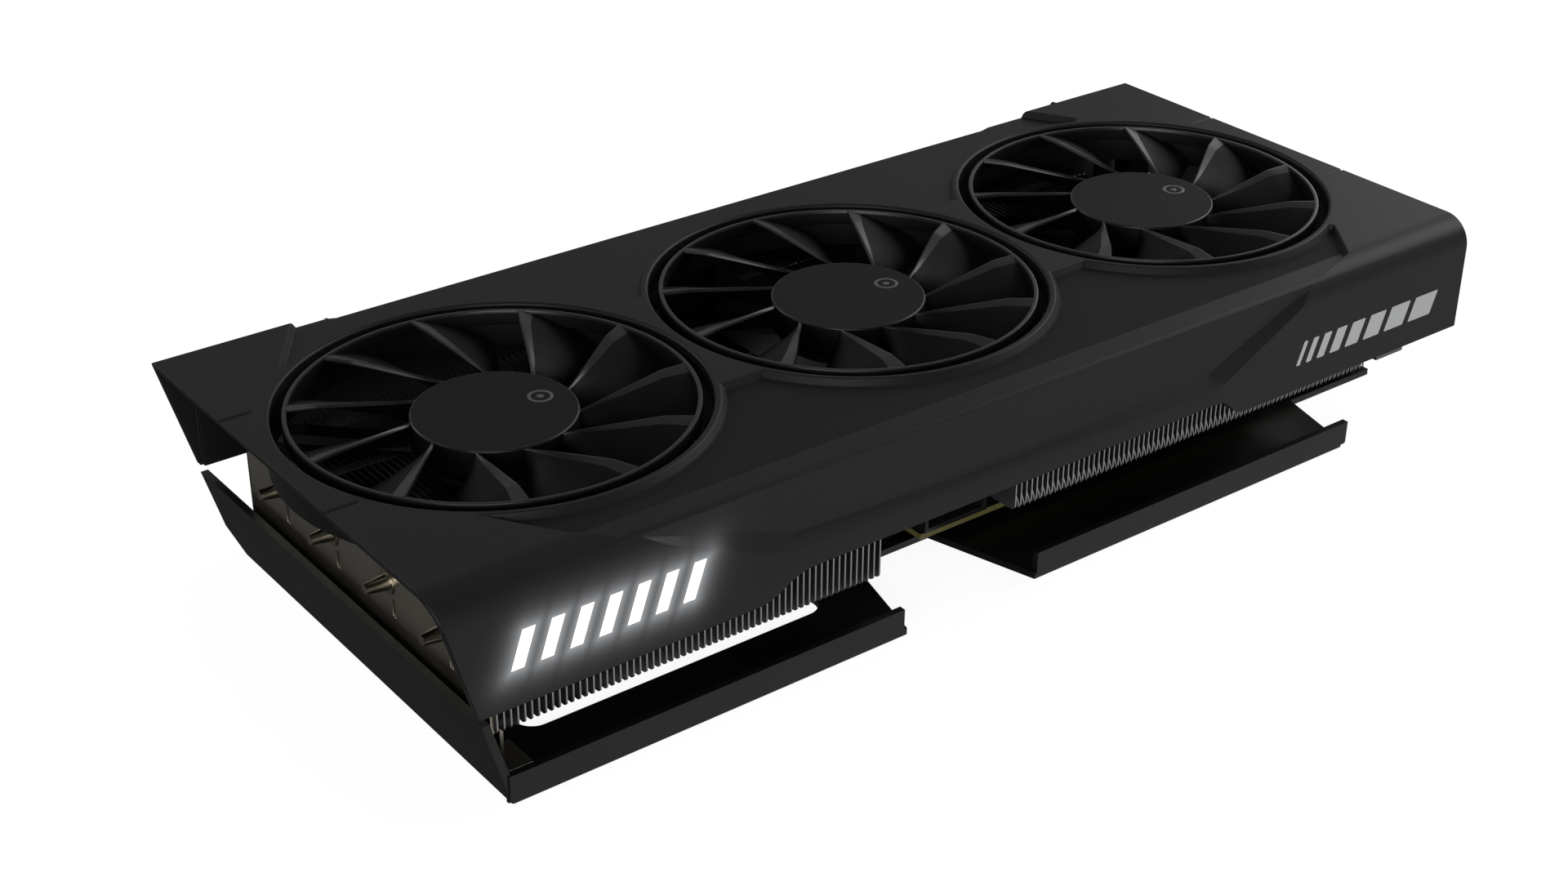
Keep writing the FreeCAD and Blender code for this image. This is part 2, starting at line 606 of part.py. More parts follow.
def make_right_fins():
    """The right block, over the board, with a channel for the pipes below it."""
    low, r = RIGHT_BLOCK_BOTTOM, FIN_ROUND
    channel = (min(PIPE_ENDS) - 5.0, max(PIPE_ENDS) + 6.0)
    outline = rounded_corner(FIN_NEAR + r, low + r, r, 180)
    if CHANNEL_TOP > low:
        outline += [(channel[0], low), (channel[0], CHANNEL_TOP),
                    (channel[1], CHANNEL_TOP), (channel[1], low)]
    outline += [(RIGHT_BLOCK_FAR, low), (RIGHT_BLOCK_FAR, FIN_TOP), (FIN_NEAR, FIN_TOP)]
    strips = []
    for y in (FIN_NEAR + 5.4, -30.0, 20.0, RIGHT_BLOCK_FAR - 13.0):
        strips.append((y, y + STRIP, FIN_TOP - FIN_T, FIN_TOP))
    strips.append((FIN_NEAR + 3.0, FIN_NEAR + 5.0, low, low + FIN_T))
    strips.append((RIGHT_BLOCK_FAR - 2 * STRIP, RIGHT_BLOCK_FAR - STRIP, low, low + FIN_T))
    return fin_stack(RIGHT_BLOCK_START, RIGHT_BLOCK_END, outline, [], strips)


def make_end_plate():
    """The plated end plate of the left block, with a foot on the backplate."""
    x0, x1 = BLOCK_LEFT, BLOCK_LEFT + END_PLATE_T
    low = LEFT_BLOCK_BOTTOM
    notch_y = LIGHT_PLATE_BACK + 2.2
    notch_z = LIGHT_LOW - 2.5
    outline = [(FIN_NEAR + 1.0, low), (LEFT_BLOCK_FAR, low), (LEFT_BLOCK_FAR, FIN_TOP),
               (notch_y, FIN_TOP), (notch_y, notch_z), (FIN_NEAR + 1.0, notch_z)]
    plate = prism_yz(outline, x0, x1)
    feet = []
    leg = rake_x(SHEET) + FLANGE_T + SEAT
    for y in (FIN_NEAR + 4.0, LEFT_BLOCK_FAR - 14.0):
        feet.append(box(x0, leg + END_PLATE_T, y, y + 10.0, low - END_PLATE_T, low))
        feet.append(box(x0, x1, y, y + 10.0, low - END_PLATE_T, low + 0.5))
        feet.append(box(leg, leg + END_PLATE_T, y, y + 10.0, SHEET, low - 0.1))
        feet.append(box(leg, leg + 8.0, y, y + 10.0, SHEET, SHEET + END_PLATE_T))
    plate = fuse([plate] + feet)
    tools = []
    for y in PIPE_ENDS:
        tools.append(Part.makeCylinder(PIPE_R + PIPE_GAP, 4, V(x0 - 1, y, PIPE_Z), V(1, 0, 0)))
        slot_y, slot_z = y - 2.2, PIPE_Z - 6.0
        slot = box(x0 - 1, x1 + 1, slot_y - 0.7, slot_y + 0.7, slot_z - 2.2, slot_z + 2.2)
        tools.append(slot)
    return cut(plate, tools)


def pipe_path(points, radius):
    """Straight runs through points, joined by tangent arcs."""
    corners = [V(*p) for p in points]
    edges, start = [], corners[0]
    for before, here, after in zip(corners, corners[1:], corners[2:]):
        a = (before - here).normalize()
        b = (after - here).normalize()
        half = a.getAngle(b) / 2
        setback = radius / math.tan(half)
        p, q = here + a * setback, here + b * setback
        bisector = (a + b).normalize()
        centre = here + bisector * (radius / math.sin(half))
        top = centre - bisector * radius
        edges.append(Part.LineSegment(start, p).toShape())
        edges.append(Part.Arc(p, top, q).toShape())
        start = q
    edges.append(Part.LineSegment(start, corners[-1]).toShape())
    return Part.Wire(edges)


def make_pipe(index):
    """A heat pipe: left block, a bend down through the gap, then over the plate."""
    y_end, y_mid = PIPE_ENDS[index], PIPE_MIDDLES[index]
    x_start = BLOCK_LEFT - 0.4
    bend_low = RIGHT_BLOCK_START + 2.0
    gather = GPU_X - 26.0
    last = GPU_X + 40.0 + 2.0 * index
    points = [(x_start, y_end, PIPE_Z), (LEFT_BLOCK_END + 6.0, y_end, PIPE_Z),
              (bend_low - 12.0, y_end * 0.5 + y_mid * 0.5, LOW_PIPE_Z)]
    points += [(bend_low + 8.0, y_end * 0.3 + y_mid * 0.7, LOW_PIPE_Z),
               (gather, y_mid, LOW_PIPE_Z), (last, y_mid, LOW_PIPE_Z)]
    path = pipe_path(points, 9.0)
    circle = Part.makeCircle(PIPE_R, V(*points[0]), V(1, 0, 0))
    body = path.makePipeShell([Part.Wire(circle)], True, False, 2)
    tip = Part.makeCone(1.2, 2.0, TIP_LENGTH, V(x_start - TIP_LENGTH, y_end, PIPE_Z), V(1, 0, 0))
    shoulder = Part.makeCone(2.0, PIPE_R, 0.6, V(x_start - 0.01, y_end, PIPE_Z), V(1, 0, 0))
    dome = Part.makeSphere(PIPE_R - 0.01, V(last, y_mid, LOW_PIPE_Z))
    return fuse([body, tip, shoulder, dome])


def make_cold_plate():
    """The solid plate that carries the heat from the chip to the pipes."""
    half = GPU_SIDE / 2 + 2.0
    plate = box(GPU_X - half, GPU_X + half, GPU_Y - half, GPU_Y + half, PLATE_BOTTOM, PLATE_TOP)
    step = PLATE_BOTTOM + 1.2
    for side in (-1, 1):
        edge = GPU_Y + side * (half - 3.0)
        outside = edge + side * 10
        plate = plate.cut(box(GPU_X - half - 1, GPU_X + half + 1, min(edge, outside),
                              max(edge, outside), PLATE_BOTTOM - 1, step))
    return plate


RETENTION = [(GPU_X + sx * 29.0, GPU_Y + sy * 29.0) for sx in (-1, 1) for sy in (-1, 1)]


def make_cooler_frame():
    """The stamped frame that spreads the memory's heat, round the cold plate."""
    plate = box(GPU_X - 42, GPU_X + 42, PCB_NEAR + 5, GPU_Y + 44, FRAME_BOTTOM, FRAME_BOTTOM + FRAME_T)
    half = GPU_SIDE / 2 + 2.0 + SEAT
    tools = [box(GPU_X - half, GPU_X + half, GPU_Y - half, GPU_Y + half, FRAME_BOTTOM - 1, PLATE_TOP)]
    tools += [rod(x, y, PCB_TOP - 1, FRAME_BOTTOM + FRAME_T - 0.3, SCREW_R + FIT)
              for x, y in RETENTION]
    bosses = [rod(x, y, PCB_TOP, FRAME_BOTTOM + 0.1, BOSS_R) for x, y in RETENTION]
    return cut(fuse([plate] + bosses), tools)


# ---------------------------------------------------------------- board
MEMORY = ([(GPU_X - 34.0, GPU_Y + y) for y in (-14.5, 0.0, 14.5)]
          + [(GPU_X + 34.0, GPU_Y + y) for y in (-14.5, 0.0, 14.5)]
          + [(GPU_X + x, GPU_Y + 34.0) for x in (-8.5, 8.5)])
CHOKES = ([(GPU_X - 55.0, PCB_NEAR + 22.0 + k * 9.0) for k in range(8)]
          + [(GPU_X + 52.0, PCB_NEAR + 22.0 + k * 9.0) for k in range(6)])
BACK_SCREWS = [(PCB_LEFT + 5.0, PCB_NEAR + 24.0), (PCB_LEFT + 5.0, PCB_FAR - 6.0),
               (GPU_X, PCB_FAR - 5.0), (GPU_X + 48.0, PCB_NEAR + 5.0)]
SHEET_SCREWS = BACK_SCREWS + POSTS_RIGHT
FINGERS_X = (RIGHT - 57.1 - 71.6, RIGHT - 57.1, RIGHT - 55.2, RIGHT - 55.2 + 11.6)
POWER_X = (PCB_LEFT + 1.0, PCB_LEFT + 21.6)


def make_pcb():
    """The main board, with the card-edge tongue and its key notch."""
    board = box(PCB_LEFT, PCB_RIGHT, PCB_NEAR, PCB_FAR, PCB_BOTTOM, PCB_TOP)
    a, b, c, d = FINGERS_X
    tongue = [(a, PCB_FAR - 1), (a, FINGER_END - 1), (a + 1, FINGER_END), (b - 0.5, FINGER_END),
              (b, FINGER_END - 0.5), (b, PCB_FAR - 1)]
    short = [(c, PCB_FAR - 1), (c, FINGER_END - 0.5), (c + 0.5, FINGER_END), (d - 1, FINGER_END),
             (d, FINGER_END - 1), (d, PCB_FAR - 1)]
    tongues = [prism_xy(tongue, PCB_BOTTOM, PCB_TOP), prism_xy(short, PCB_BOTTOM, PCB_TOP)]
    board = fuse([board] + tongues)
    places = SHEET_SCREWS + RETENTION + BRACKET_SCREWS
    return cut(board, [rod(x, y, 0, 20, SCREW_R + FIT) for x, y in places])


def group(centres, side_x, side_y, z0, z1, bevel=0.0):
    """Separate equal blocks standing on the board."""
    blocks = []
    for x, y in centres:
        block = box(x - side_x / 2, x + side_x / 2, y - side_y / 2, y + side_y / 2, z0, z1)
        if bevel:
            block = block.makeChamfer(bevel, [e for e in block.Edges if e.BoundBox.ZMin > z1 - 0.01])
        blocks.append(block)
    return Part.makeCompound(blocks)


def make_board_pieces():
    """Everything soldered to the board."""
    export("circuit_board", make_pcb())
    half = GPU_SIDE / 2
    package = box(GPU_X - half, GPU_X + half, GPU_Y - half, GPU_Y + half, PCB_TOP, PCB_TOP + PACKAGE_T)
    export("gpu_package", package)
    export("gpu_die", box(GPU_X - DIE_X / 2, GPU_X + DIE_X / 2, GPU_Y - DIE_Y / 2,
                          GPU_Y + DIE_Y / 2, PCB_TOP + PACKAGE_T, DIE_TOP))
    export("memory_chips", group(MEMORY, 12.0, 14.0, PCB_TOP, PCB_TOP + CHIP_T, 0.15))
    export("thermal_pads", group(MEMORY, 11.0, 13.0, PCB_TOP + CHIP_T, PCB_TOP + CHIP_T + PAD_T))
    export("power_chokes", group(CHOKES, 7.0, 7.0, PCB_TOP, PCB_TOP + 4.0, 0.5))
    stages = [(x + (6.6 if x < GPU_X else -6.6), y) for x, y in CHOKES]
    export("power_stages", group(stages, 5.0, 6.0, PCB_TOP, PCB_TOP + 0.9, 0.1))
    cans = [(x + (-7.6 if x < GPU_X else 7.6), y) for x, y in CHOKES]
    export("capacitors", Part.makeCompound([rod(x, y, PCB_TOP, PCB_TOP + 5.2, 2.6) for x, y in cans]))


POWER_DEPTH = 11.0
POWER_TALL = 9.0
POWER_CELLS = 6


def make_power_socket():
    """The twelve-way power socket at the board's near edge, open towards -Y."""
    x0, x1 = POWER_X
    y0, y1 = PCB_NEAR - 0.5, PCB_NEAR + POWER_DEPTH
    z0, z1 = PCB_TOP, PCB_TOP + POWER_TALL
    body = box(x0, x1, y0, y1, z0, z1)
    cavity = box(x0 + 1.2, x1 - 1.2, y0 - 1, y1 - 2.5, z0 + 1.2, z1 - 1.2)
    latch = box((x0 + x1) / 2 - 3.0, (x0 + x1) / 2 + 3.0, y0, y0 + 3.0, z1, z1 + 0.8)
    return fuse([body.cut(cavity), latch])


def make_power_pins():
    """The socket's two rows of power pins."""
    x0, x1 = POWER_X
    y1 = PCB_NEAR + POWER_DEPTH
    pitch = (x1 - x0 - 5.0) / (POWER_CELLS - 1)
    pins = []
    for k in range(POWER_CELLS):
        x = x0 + 2.5 + k * pitch
        for z in (PCB_TOP + 2.9, PCB_TOP + 5.9):
            pins.append(box(x - 0.5, x + 0.5, y1 - 4.0, y1 - 2.5, z - 0.5, z + 0.5))
    return Part.makeCompound(pins)


DISPLAY_PORT = 16.1        # width of a display port's shell
HDMI_PORT = 15.0
PORT_TALL = 6.2
PORT_PITCH = 22.0
FIRST_PORT = -27.0
PORT_X = RIGHT - 11.0
PORTS = [(FIRST_PORT + k * PORT_PITCH, DISPLAY_PORT) for k in range(3)]
PORTS.append((FIRST_PORT + 3 * PORT_PITCH, HDMI_PORT))
EAR_HALF = 2.6             # the bracket's ears fit between two shells
BRACKET_SCREWS = [(RIGHT - 5.5, FIRST_PORT + 1.5 * PORT_PITCH),
                  (RIGHT - 5.5, FIRST_PORT + 2.5 * PORT_PITCH + (DISPLAY_PORT - HDMI_PORT) / 4)]


def make_port(y, wide):
    """A display socket: a metal shell with a keyed corner and a tongue, open towards +X."""
    x1 = RIGHT + SEAT + BRACKET_T + 0.8
    z0, tall, key = PCB_TOP, PORT_TALL, 1.8
    shell = box(PORT_X, x1, y - wide / 2, y + wide / 2, z0, z0 + tall)
    mouth = box(PORT_X + 2.0, x1 + 1, y - wide / 2 + 0.5, y + wide / 2 - 0.5, z0 + 0.5, z0 + tall - 0.5)
    tongue = box(PORT_X + 1.5, x1 - 1.5, y - wide / 2 + 2.5, y + wide / 2 - 2.5,
                 z0 + tall / 2 - 0.5, z0 + tall / 2 + 0.4)
    corner = prism_yz([(y + wide / 2 + 0.1, z0 - 0.1), (y + wide / 2 + 0.1, z0 + key),
                       (y + wide / 2 - key, z0 - 0.1)], PORT_X - 1, x1 + 1)
    wedge = prism_yz([(y + wide / 2 - 0.4, z0 + 0.4), (y + wide / 2 - 0.4, z0 + key + 0.8),
                      (y + wide / 2 - key - 0.8, z0 + 0.4)], PORT_X + 1, x1)
    return fuse([shell.cut(mouth), tongue, wedge]).cut(corner)


def make_bracket():
    """The two-slot steel bracket: plate, screw tabs, tongues, windows and vents."""
    x0 = RIGHT + SEAT
    x1 = x0 + BRACKET_T
    z0, z1 = BRACKET_Z, BRACKET_Z + BRACKET_WIDTH
    tab_y = PCB_NEAR - 0.4
    tip = tab_y + BRACKET_LENGTH
    waist = tip - 14.0
    outline = [(tab_y, z0), (waist, z0), (waist + 3.0, z0 + 4.0), (tip, z0 + 4.0), (tip, z0 + 14.2),
               (waist + 3.0, z0 + 14.2), (waist, z0 + 18.4), (waist, z1 - 18.4),
               (waist + 3.0, z1 - 14.2), (tip, z1 - 14.2), (tip, z1 - 4.0), (waist + 3.0, z1 - 4.0),
               (waist, z1), (tab_y, z1)]
    plate = prism_yz(outline, x0, x1)
    tab = box(x0, x0 + TAB_LENGTH, tab_y, tab_y + BRACKET_T, z0, z1)
    ears = []
    for x, y in BRACKET_SCREWS:
        ears.append(box(x - 3.2, x0 + 0.1, y - EAR_HALF, y + EAR_HALF, PCB_TOP, PCB_TOP + BRACKET_T))
    bracket = fuse([plate, tab] + ears)
    tools = []
    for y, wide in PORTS:
        tools.append(box(x0 - 1, x1 + 1, y - wide / 2 - FIT, y + wide / 2 + FIT,
                         PCB_TOP - FIT, PCB_TOP + PORT_TALL + FIT))
    for k in range(11):
        y = -34.0 + k * 8.0
        tools.append(box(x0 - 1, x1 + 1, y, y + 5.0, z0 + 18.0, z1 - 12.0))
    for x, y in BRACKET_SCREWS:
        tools.append(rod(x, y, PCB_TOP - 1, PCB_TOP + 3, SCREW_R + FIT))
    for z in (z0 + 9.2, z0 + 29.5):
        tools.append(box(x0 + TAB_LENGTH - 6.0, x0 + TAB_LENGTH + 1, tab_y - 1, tab_y + 2, z - 2.2, z + 2.2))
    return cut(bracket, tools)



# ---------------------------------------------------------------- backplate
LIP_LEFT = (rake_x(2.0), RIGHT_BLOCK_START - 36.7)
LIP_RIGHT = (RIGHT_BLOCK_START + 5.7, RIGHT - 41.0)
WINDOW = (LEFT + 30.3, LEFT_BLOCK_END - 4.0, NEAR + 18.7, LEFT_BLOCK_FAR - 6.0)


def make_backplate():
    """The folded sheet: near lip, raked end flange, window, socket notch and standoffs."""
    left, edge = rake_x(0.0) + 0.3, FAR + 1.0
    step = PCB_NEAR - 0.5
    outline = [(left, NEAR + 0.2), (LIP_LEFT[1] + 1.0, NEAR + 0.2),
               (RIGHT_BLOCK_START - 27.7, NEAR + 30.7), (RIGHT_BLOCK_START - 3.3, NEAR + 30.7),
               (LIP_RIGHT[0] - 0.5, NEAR + 0.2), (LIP_RIGHT[1] - 1.5, NEAR + 0.2),
               (RIGHT - 35.7, step), (RIGHT - 3.0, step), (RIGHT - 3.0, PCB_FAR - 2.0),
               (FINGERS_X[0] - 6.0, PCB_FAR - 2.0), (FINGERS_X[0] - 10.0, edge),
               (left + 8.0, edge), (left, edge - 6.0)]
    sheet = prism_xy(outline, 0, SHEET)
    shapes = [sheet]
    for x0, x1 in (LIP_LEFT, LIP_RIGHT):
        lip = box(x0, x1, NEAR, NEAR + SHEET, 0, LIP_TOP)
        round_r = 1.5
        corner = box(x0 - 1, x1 + 1, NEAR - 1, NEAR + round_r, -1, round_r)
        corner = corner.cut(Part.makeCylinder(round_r, x1 - x0 + 4, V(x0 - 2, NEAR + round_r, round_r),
                                              V(1, 0, 0)))
        shapes.append(lip.cut(corner))
    flange = prism_xz([(rake_x(0), 0), (rake_x(FLANGE_TOP), FLANGE_TOP),
                       (rake_x(FLANGE_TOP) + FLANGE_T, FLANGE_TOP), (rake_x(0) + FLANGE_T, 0)],
                      NEAR + 0.4, edge)
    far_corner = prism_yz([(edge - 9.0, -1), (edge + 1, -1), (edge + 1, 6.0)], LEFT - 5, LEFT + 40)
    shapes.append(flange.cut(far_corner))
    for x, y in SHEET_SCREWS:
        shapes.append(rod(x, y, SHEET - 0.1, PCB_BOTTOM, BOSS_R - 0.2))
    shapes.append(rod(*POST_LEFT, SHEET - 0.1, POST_JOIN, BOSS_R + 0.6))
    plate = fuse(shapes)
    x0, x1, y0, y1 = WINDOW
    window = box(x0, x1, y0, y1, -1, SHEET + 1)
    window = window.makeFillet(5.0, [e for e in window.Edges if e.BoundBox.ZLength > SHEET])
    tools = [window, far_corner]
    for x, y in SHEET_SCREWS + [POST_LEFT]:
        tools.append(rod(x, y, -1, POST_JOIN + 1, SCREW_R + FIT))
        tools.append(rod(x, y, -1, 1.2, HEAD_R + FIT))
    return cut(plate, tools)


def make_sheet_screws():
    """Screws from below: into the board's bosses, the posts and the left column."""
    screws = []
    ends = [(p, PCB_TOP + 0.8) for p in BACK_SCREWS] + [(p, PCB_TOP + 5.5) for p in POSTS_RIGHT]
    ends.append((POST_LEFT, POST_JOIN + 7.0))
    for (x, y), top in ends:
        head = rod(x, y, 0.2, 1.2, HEAD_R)
        recess = rod(x, y, 0, 0.7, 0.9)
        screws.append(head.fuse(rod(x, y, 1.1, top, SCREW_R)).cut(recess))
    return Part.makeCompound(screws)


def make_retention_spring():
    """The cross-shaped spring behind the chip that pulls the cold plate down."""
    z0, z1 = PCB_BOTTOM - 1.3, PCB_BOTTOM - 0.3
    ring = tube(GPU_X, GPU_Y, z0, z1, 11.0, 17.0)
    shapes = [ring]
    for x, y in RETENTION:
        angle = math.degrees(math.atan2(y - GPU_Y, x - GPU_X))
        reach = math.hypot(x - GPU_X, y - GPU_Y)
        arm = box(14.0, reach, -3.0, 3.0, z0, z1).fuse(rod(reach, 0, z0, z1, BOSS_R + 0.4))
        arm.rotate(V(0, 0, 0), V(0, 0, 1), angle)
        arm.translate(V(GPU_X, GPU_Y, 0))
        shapes.append(arm)
    holes = [rod(x, y, 0, 20, SCREW_R + FIT) for x, y in RETENTION]
    return cut(fuse(shapes), holes)


def make_retention_screws():
    """The four screws of the retention spring."""
    screws = []
    for x, y in RETENTION:
        low = PCB_BOTTOM - 2.3
        head = rod(x, y, low, low + 1.0, HEAD_R)
        screws.append(head.fuse(rod(x, y, low + 0.9, FRAME_BOTTOM + 1.0, SCREW_R)))
    return Part.makeCompound(screws)


def make_bracket_screws():
    """The two screws that hold the bracket's ears to the board."""
    screws = []
    for x, y in BRACKET_SCREWS:
        top = PCB_TOP + BRACKET_T
        screws.append(rod(x, y, top, top + 1.2, HEAD_R).fuse(rod(x, y, PCB_BOTTOM + 0.2, top + 0.1, SCREW_R)))
    return Part.makeCompound(screws)


# ---------------------------------------------------------------- build
def main():
    os.makedirs("parts", exist_ok=True)
    export("shroud", make_shroud())
    export("light_guide", make_light_guide())
    export("light_board", make_light_board())
    for side, x in FAN_X.items():
        make_fan(side, x)
    export("fan_screws", make_fan_screws())
    export("left_fin_stack", make_left_fins())
    export("right_fin_stack", make_right_fins())
    export("fin_end_plate", make_end_plate())
    for index in range(len(PIPE_ENDS)):
        export(f"heat_pipe_{index + 1}", make_pipe(index))
    export("cold_plate", make_cold_plate())
    export("cooler_frame", make_cooler_frame())
    make_board_pieces()
    export("power_socket", make_power_socket())
    export("power_pins", make_power_pins())
    ports = [make_port(y, wide) for y, wide in PORTS]
    export("displayport_sockets", Part.makeCompound(ports[:3]))
    export("hdmi_socket", ports[3])
    export("io_bracket", make_bracket())
    export("bracket_screws", make_bracket_screws())
    export("backplate", make_backplate())
    export("backplate_screws", make_sheet_screws())
    export("retention_spring", make_retention_spring())
    export("retention_screws", make_retention_screws())


main()
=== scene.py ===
# %% [markdown]
# # A long graphics card with a row of fans
#
# This notebook dresses a finished mechanical model. The model arrives as a frame of fixed
# parts, in metres, and nothing here moves or resizes them. What is added is what a maker
# sees and touches: moulded grain, softened edges, folded fins, printed marks and light.

# %% Load the frame
import json
import math
import random

import bmesh
import bpy
from mathutils import Matrix, Vector

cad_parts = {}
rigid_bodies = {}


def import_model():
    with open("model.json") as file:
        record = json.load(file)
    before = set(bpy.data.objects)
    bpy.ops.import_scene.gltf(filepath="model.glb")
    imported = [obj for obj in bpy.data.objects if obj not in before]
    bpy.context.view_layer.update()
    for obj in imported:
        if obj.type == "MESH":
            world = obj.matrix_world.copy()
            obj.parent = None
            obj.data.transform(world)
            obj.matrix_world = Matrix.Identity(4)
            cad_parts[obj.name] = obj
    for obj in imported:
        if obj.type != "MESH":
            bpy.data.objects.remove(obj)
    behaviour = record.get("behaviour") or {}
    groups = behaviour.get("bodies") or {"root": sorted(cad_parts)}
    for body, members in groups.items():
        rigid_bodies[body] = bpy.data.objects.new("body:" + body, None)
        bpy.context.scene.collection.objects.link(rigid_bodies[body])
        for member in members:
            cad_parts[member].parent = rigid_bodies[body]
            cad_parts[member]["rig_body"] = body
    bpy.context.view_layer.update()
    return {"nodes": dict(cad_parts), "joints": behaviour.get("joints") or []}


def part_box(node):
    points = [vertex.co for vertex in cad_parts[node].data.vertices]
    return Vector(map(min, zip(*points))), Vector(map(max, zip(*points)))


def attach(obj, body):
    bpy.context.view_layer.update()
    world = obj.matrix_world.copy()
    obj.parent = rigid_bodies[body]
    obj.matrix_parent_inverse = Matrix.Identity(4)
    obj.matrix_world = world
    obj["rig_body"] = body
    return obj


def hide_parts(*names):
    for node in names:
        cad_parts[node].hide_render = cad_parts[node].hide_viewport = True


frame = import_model()
nodes = frame["nodes"]
scene = bpy.context.scene
MM = 0.001

# %% [markdown]
# ## Where things are
#
# Every place is read from the frame, so that the looks follow the parts if a size changes.
# The fans' joints give their axes, and the boxes of a few nodes give the rest.

# %% Places
SIDES = ("left", "middle", "right")
PIPES = (1, 2, 3, 4)
axis_of = {joint["child"]: Vector(joint["pos_m"]) for joint in frame["joints"]}
fan_x = {side: axis_of[f"{side}_fan"].x for side in SIDES}
shroud_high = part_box("shroud")[1]
rotor_low, rotor_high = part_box("fan_rotor_middle")
cap_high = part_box("hub_cap_middle")[1]
bars_low, bars_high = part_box("light_guide")
left_low, left_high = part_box("left_fin_stack")
right_low, right_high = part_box("right_fin_stack")
board_low, board_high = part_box("circuit_board")
ROTOR_R = (rotor_high.y - rotor_low.y) / 2
HUB_TOP = cap_high.z + 0.02 * MM
WALL_FACE = bars_low.y - 0.1 * MM
print("rotor radius", round(ROTOR_R / MM, 2), "mm")

# %% [markdown]
# ## Camera
#
# A product picture is taken from far enough away to keep the card's sides nearly parallel.
# The camera looks down at the fans and the near wall, across the open end.

# %% Camera
LENS = 54.03
VIEW_AZIMUTH = math.radians(-37.56)
VIEW_ELEVATION = math.radians(28.85)
VIEW_ROLL = math.radians(0.465)
VIEW_DISTANCE = 523.9 * MM
VIEW_TARGET = Vector((-63.3 * MM, -56.1 * MM, shroud_high.z))


def direction(azimuth, elevation):
    """The unit vector from the object to a viewer."""
    flat = math.cos(elevation)
    return Vector((math.sin(azimuth) * flat, -math.cos(azimuth) * flat, math.sin(elevation)))


camera = bpy.data.objects.new("camera", bpy.data.cameras.new("camera"))
scene.collection.objects.link(camera)
back = direction(VIEW_AZIMUTH, VIEW_ELEVATION)
turn = (-back).to_track_quat("-Z", "Y").to_matrix() @ Matrix.Rotation(VIEW_ROLL, 3, "Z")
camera.matrix_world = Matrix.Translation(VIEW_TARGET + back * VIEW_DISTANCE) @ turn.to_4x4()
camera.data.lens = LENS
camera.data.sensor_width = 36.0
camera.data.clip_start = 0.01
scene.camera = camera
print("camera at", [round(v, 3) for v in camera.location])

# %% [markdown]
# ## Shader maths as plain Python
#
# A procedural finish is a formula over the surface. Writing it as node after node hides the
# formula, so two small classes carry it instead. `Signal` wraps one output socket and
# overloads the arithmetic operators, so `1 - mask * 0.5` adds its Math nodes. `Finish` holds
# one material and makes any other node from its type, its settings and its inputs.


# %% Signal and Diagram
class Signal:
    """One output socket. Operators on it add Math nodes to its diagram."""

    def __init__(self, diagram, socket):
        self.diagram = diagram
        self.socket = socket

    def maths(self, operation, *values):
        inputs = dict(enumerate(values or (self,)))
        return self.diagram.node("ShaderNodeMath", {"operation": operation}, inputs)

    def __add__(self, other):
        return self.maths("ADD", self, other)

    def __radd__(self, other):
        return self.maths("ADD", other, self)

    def __sub__(self, other):
        return self.maths("SUBTRACT", self, other)

    def __rsub__(self, other):
        return self.maths("SUBTRACT", other, self)

    def __mul__(self, other):
        return self.maths("MULTIPLY", self, other)

    def __rmul__(self, other):
        return self.maths("MULTIPLY", other, self)

    def __truediv__(self, other):
        return self.maths("DIVIDE", self, other)

    def __pow__(self, other):
        return self.maths("POWER", self, other)

    def __gt__(self, other):
        return self.maths("GREATER_THAN", self, other)

    def __lt__(self, other):
        return self.maths("LESS_THAN", self, other)

    def __abs__(self):
        return self.maths("ABSOLUTE")

    def least(self, other):
        return self.maths("MINIMUM", self, other)

    def most(self, other):
        return self.maths("MAXIMUM", self, other)


class Diagram:
    """A node tree being written: a finish, a repeat of a shape, or the sky."""

    def __init__(self, tree):
        self.tree = tree

    def link(self, value, target):
        """Links a Signal to a socket, or sets the socket's constant."""
        if isinstance(value, Signal):
            self.tree.links.new(value.socket, target)
        elif target.type == "RGBA":
            target.default_value = (*value, 1.0)
        else:
            target.default_value = value

    def node(self, kind, settings=None, inputs=None, output=0):
        """Any node, from its type, its settings and the values or links of its sockets."""
        made = self.tree.nodes.new(kind)
        for key, value in (settings or {}).items():
            if key == "stops":
                for stop, (position, shade) in zip(made.color_ramp.elements, value):
                    stop.position = position
                    stop.color = (shade, shade, shade, 1.0)
            else:
                setattr(made, key, value)
        for key, value in (inputs or {}).items():
            self.link(value, made.inputs[key])
        return Signal(self, made.outputs[output])


print("diagram helpers ready")

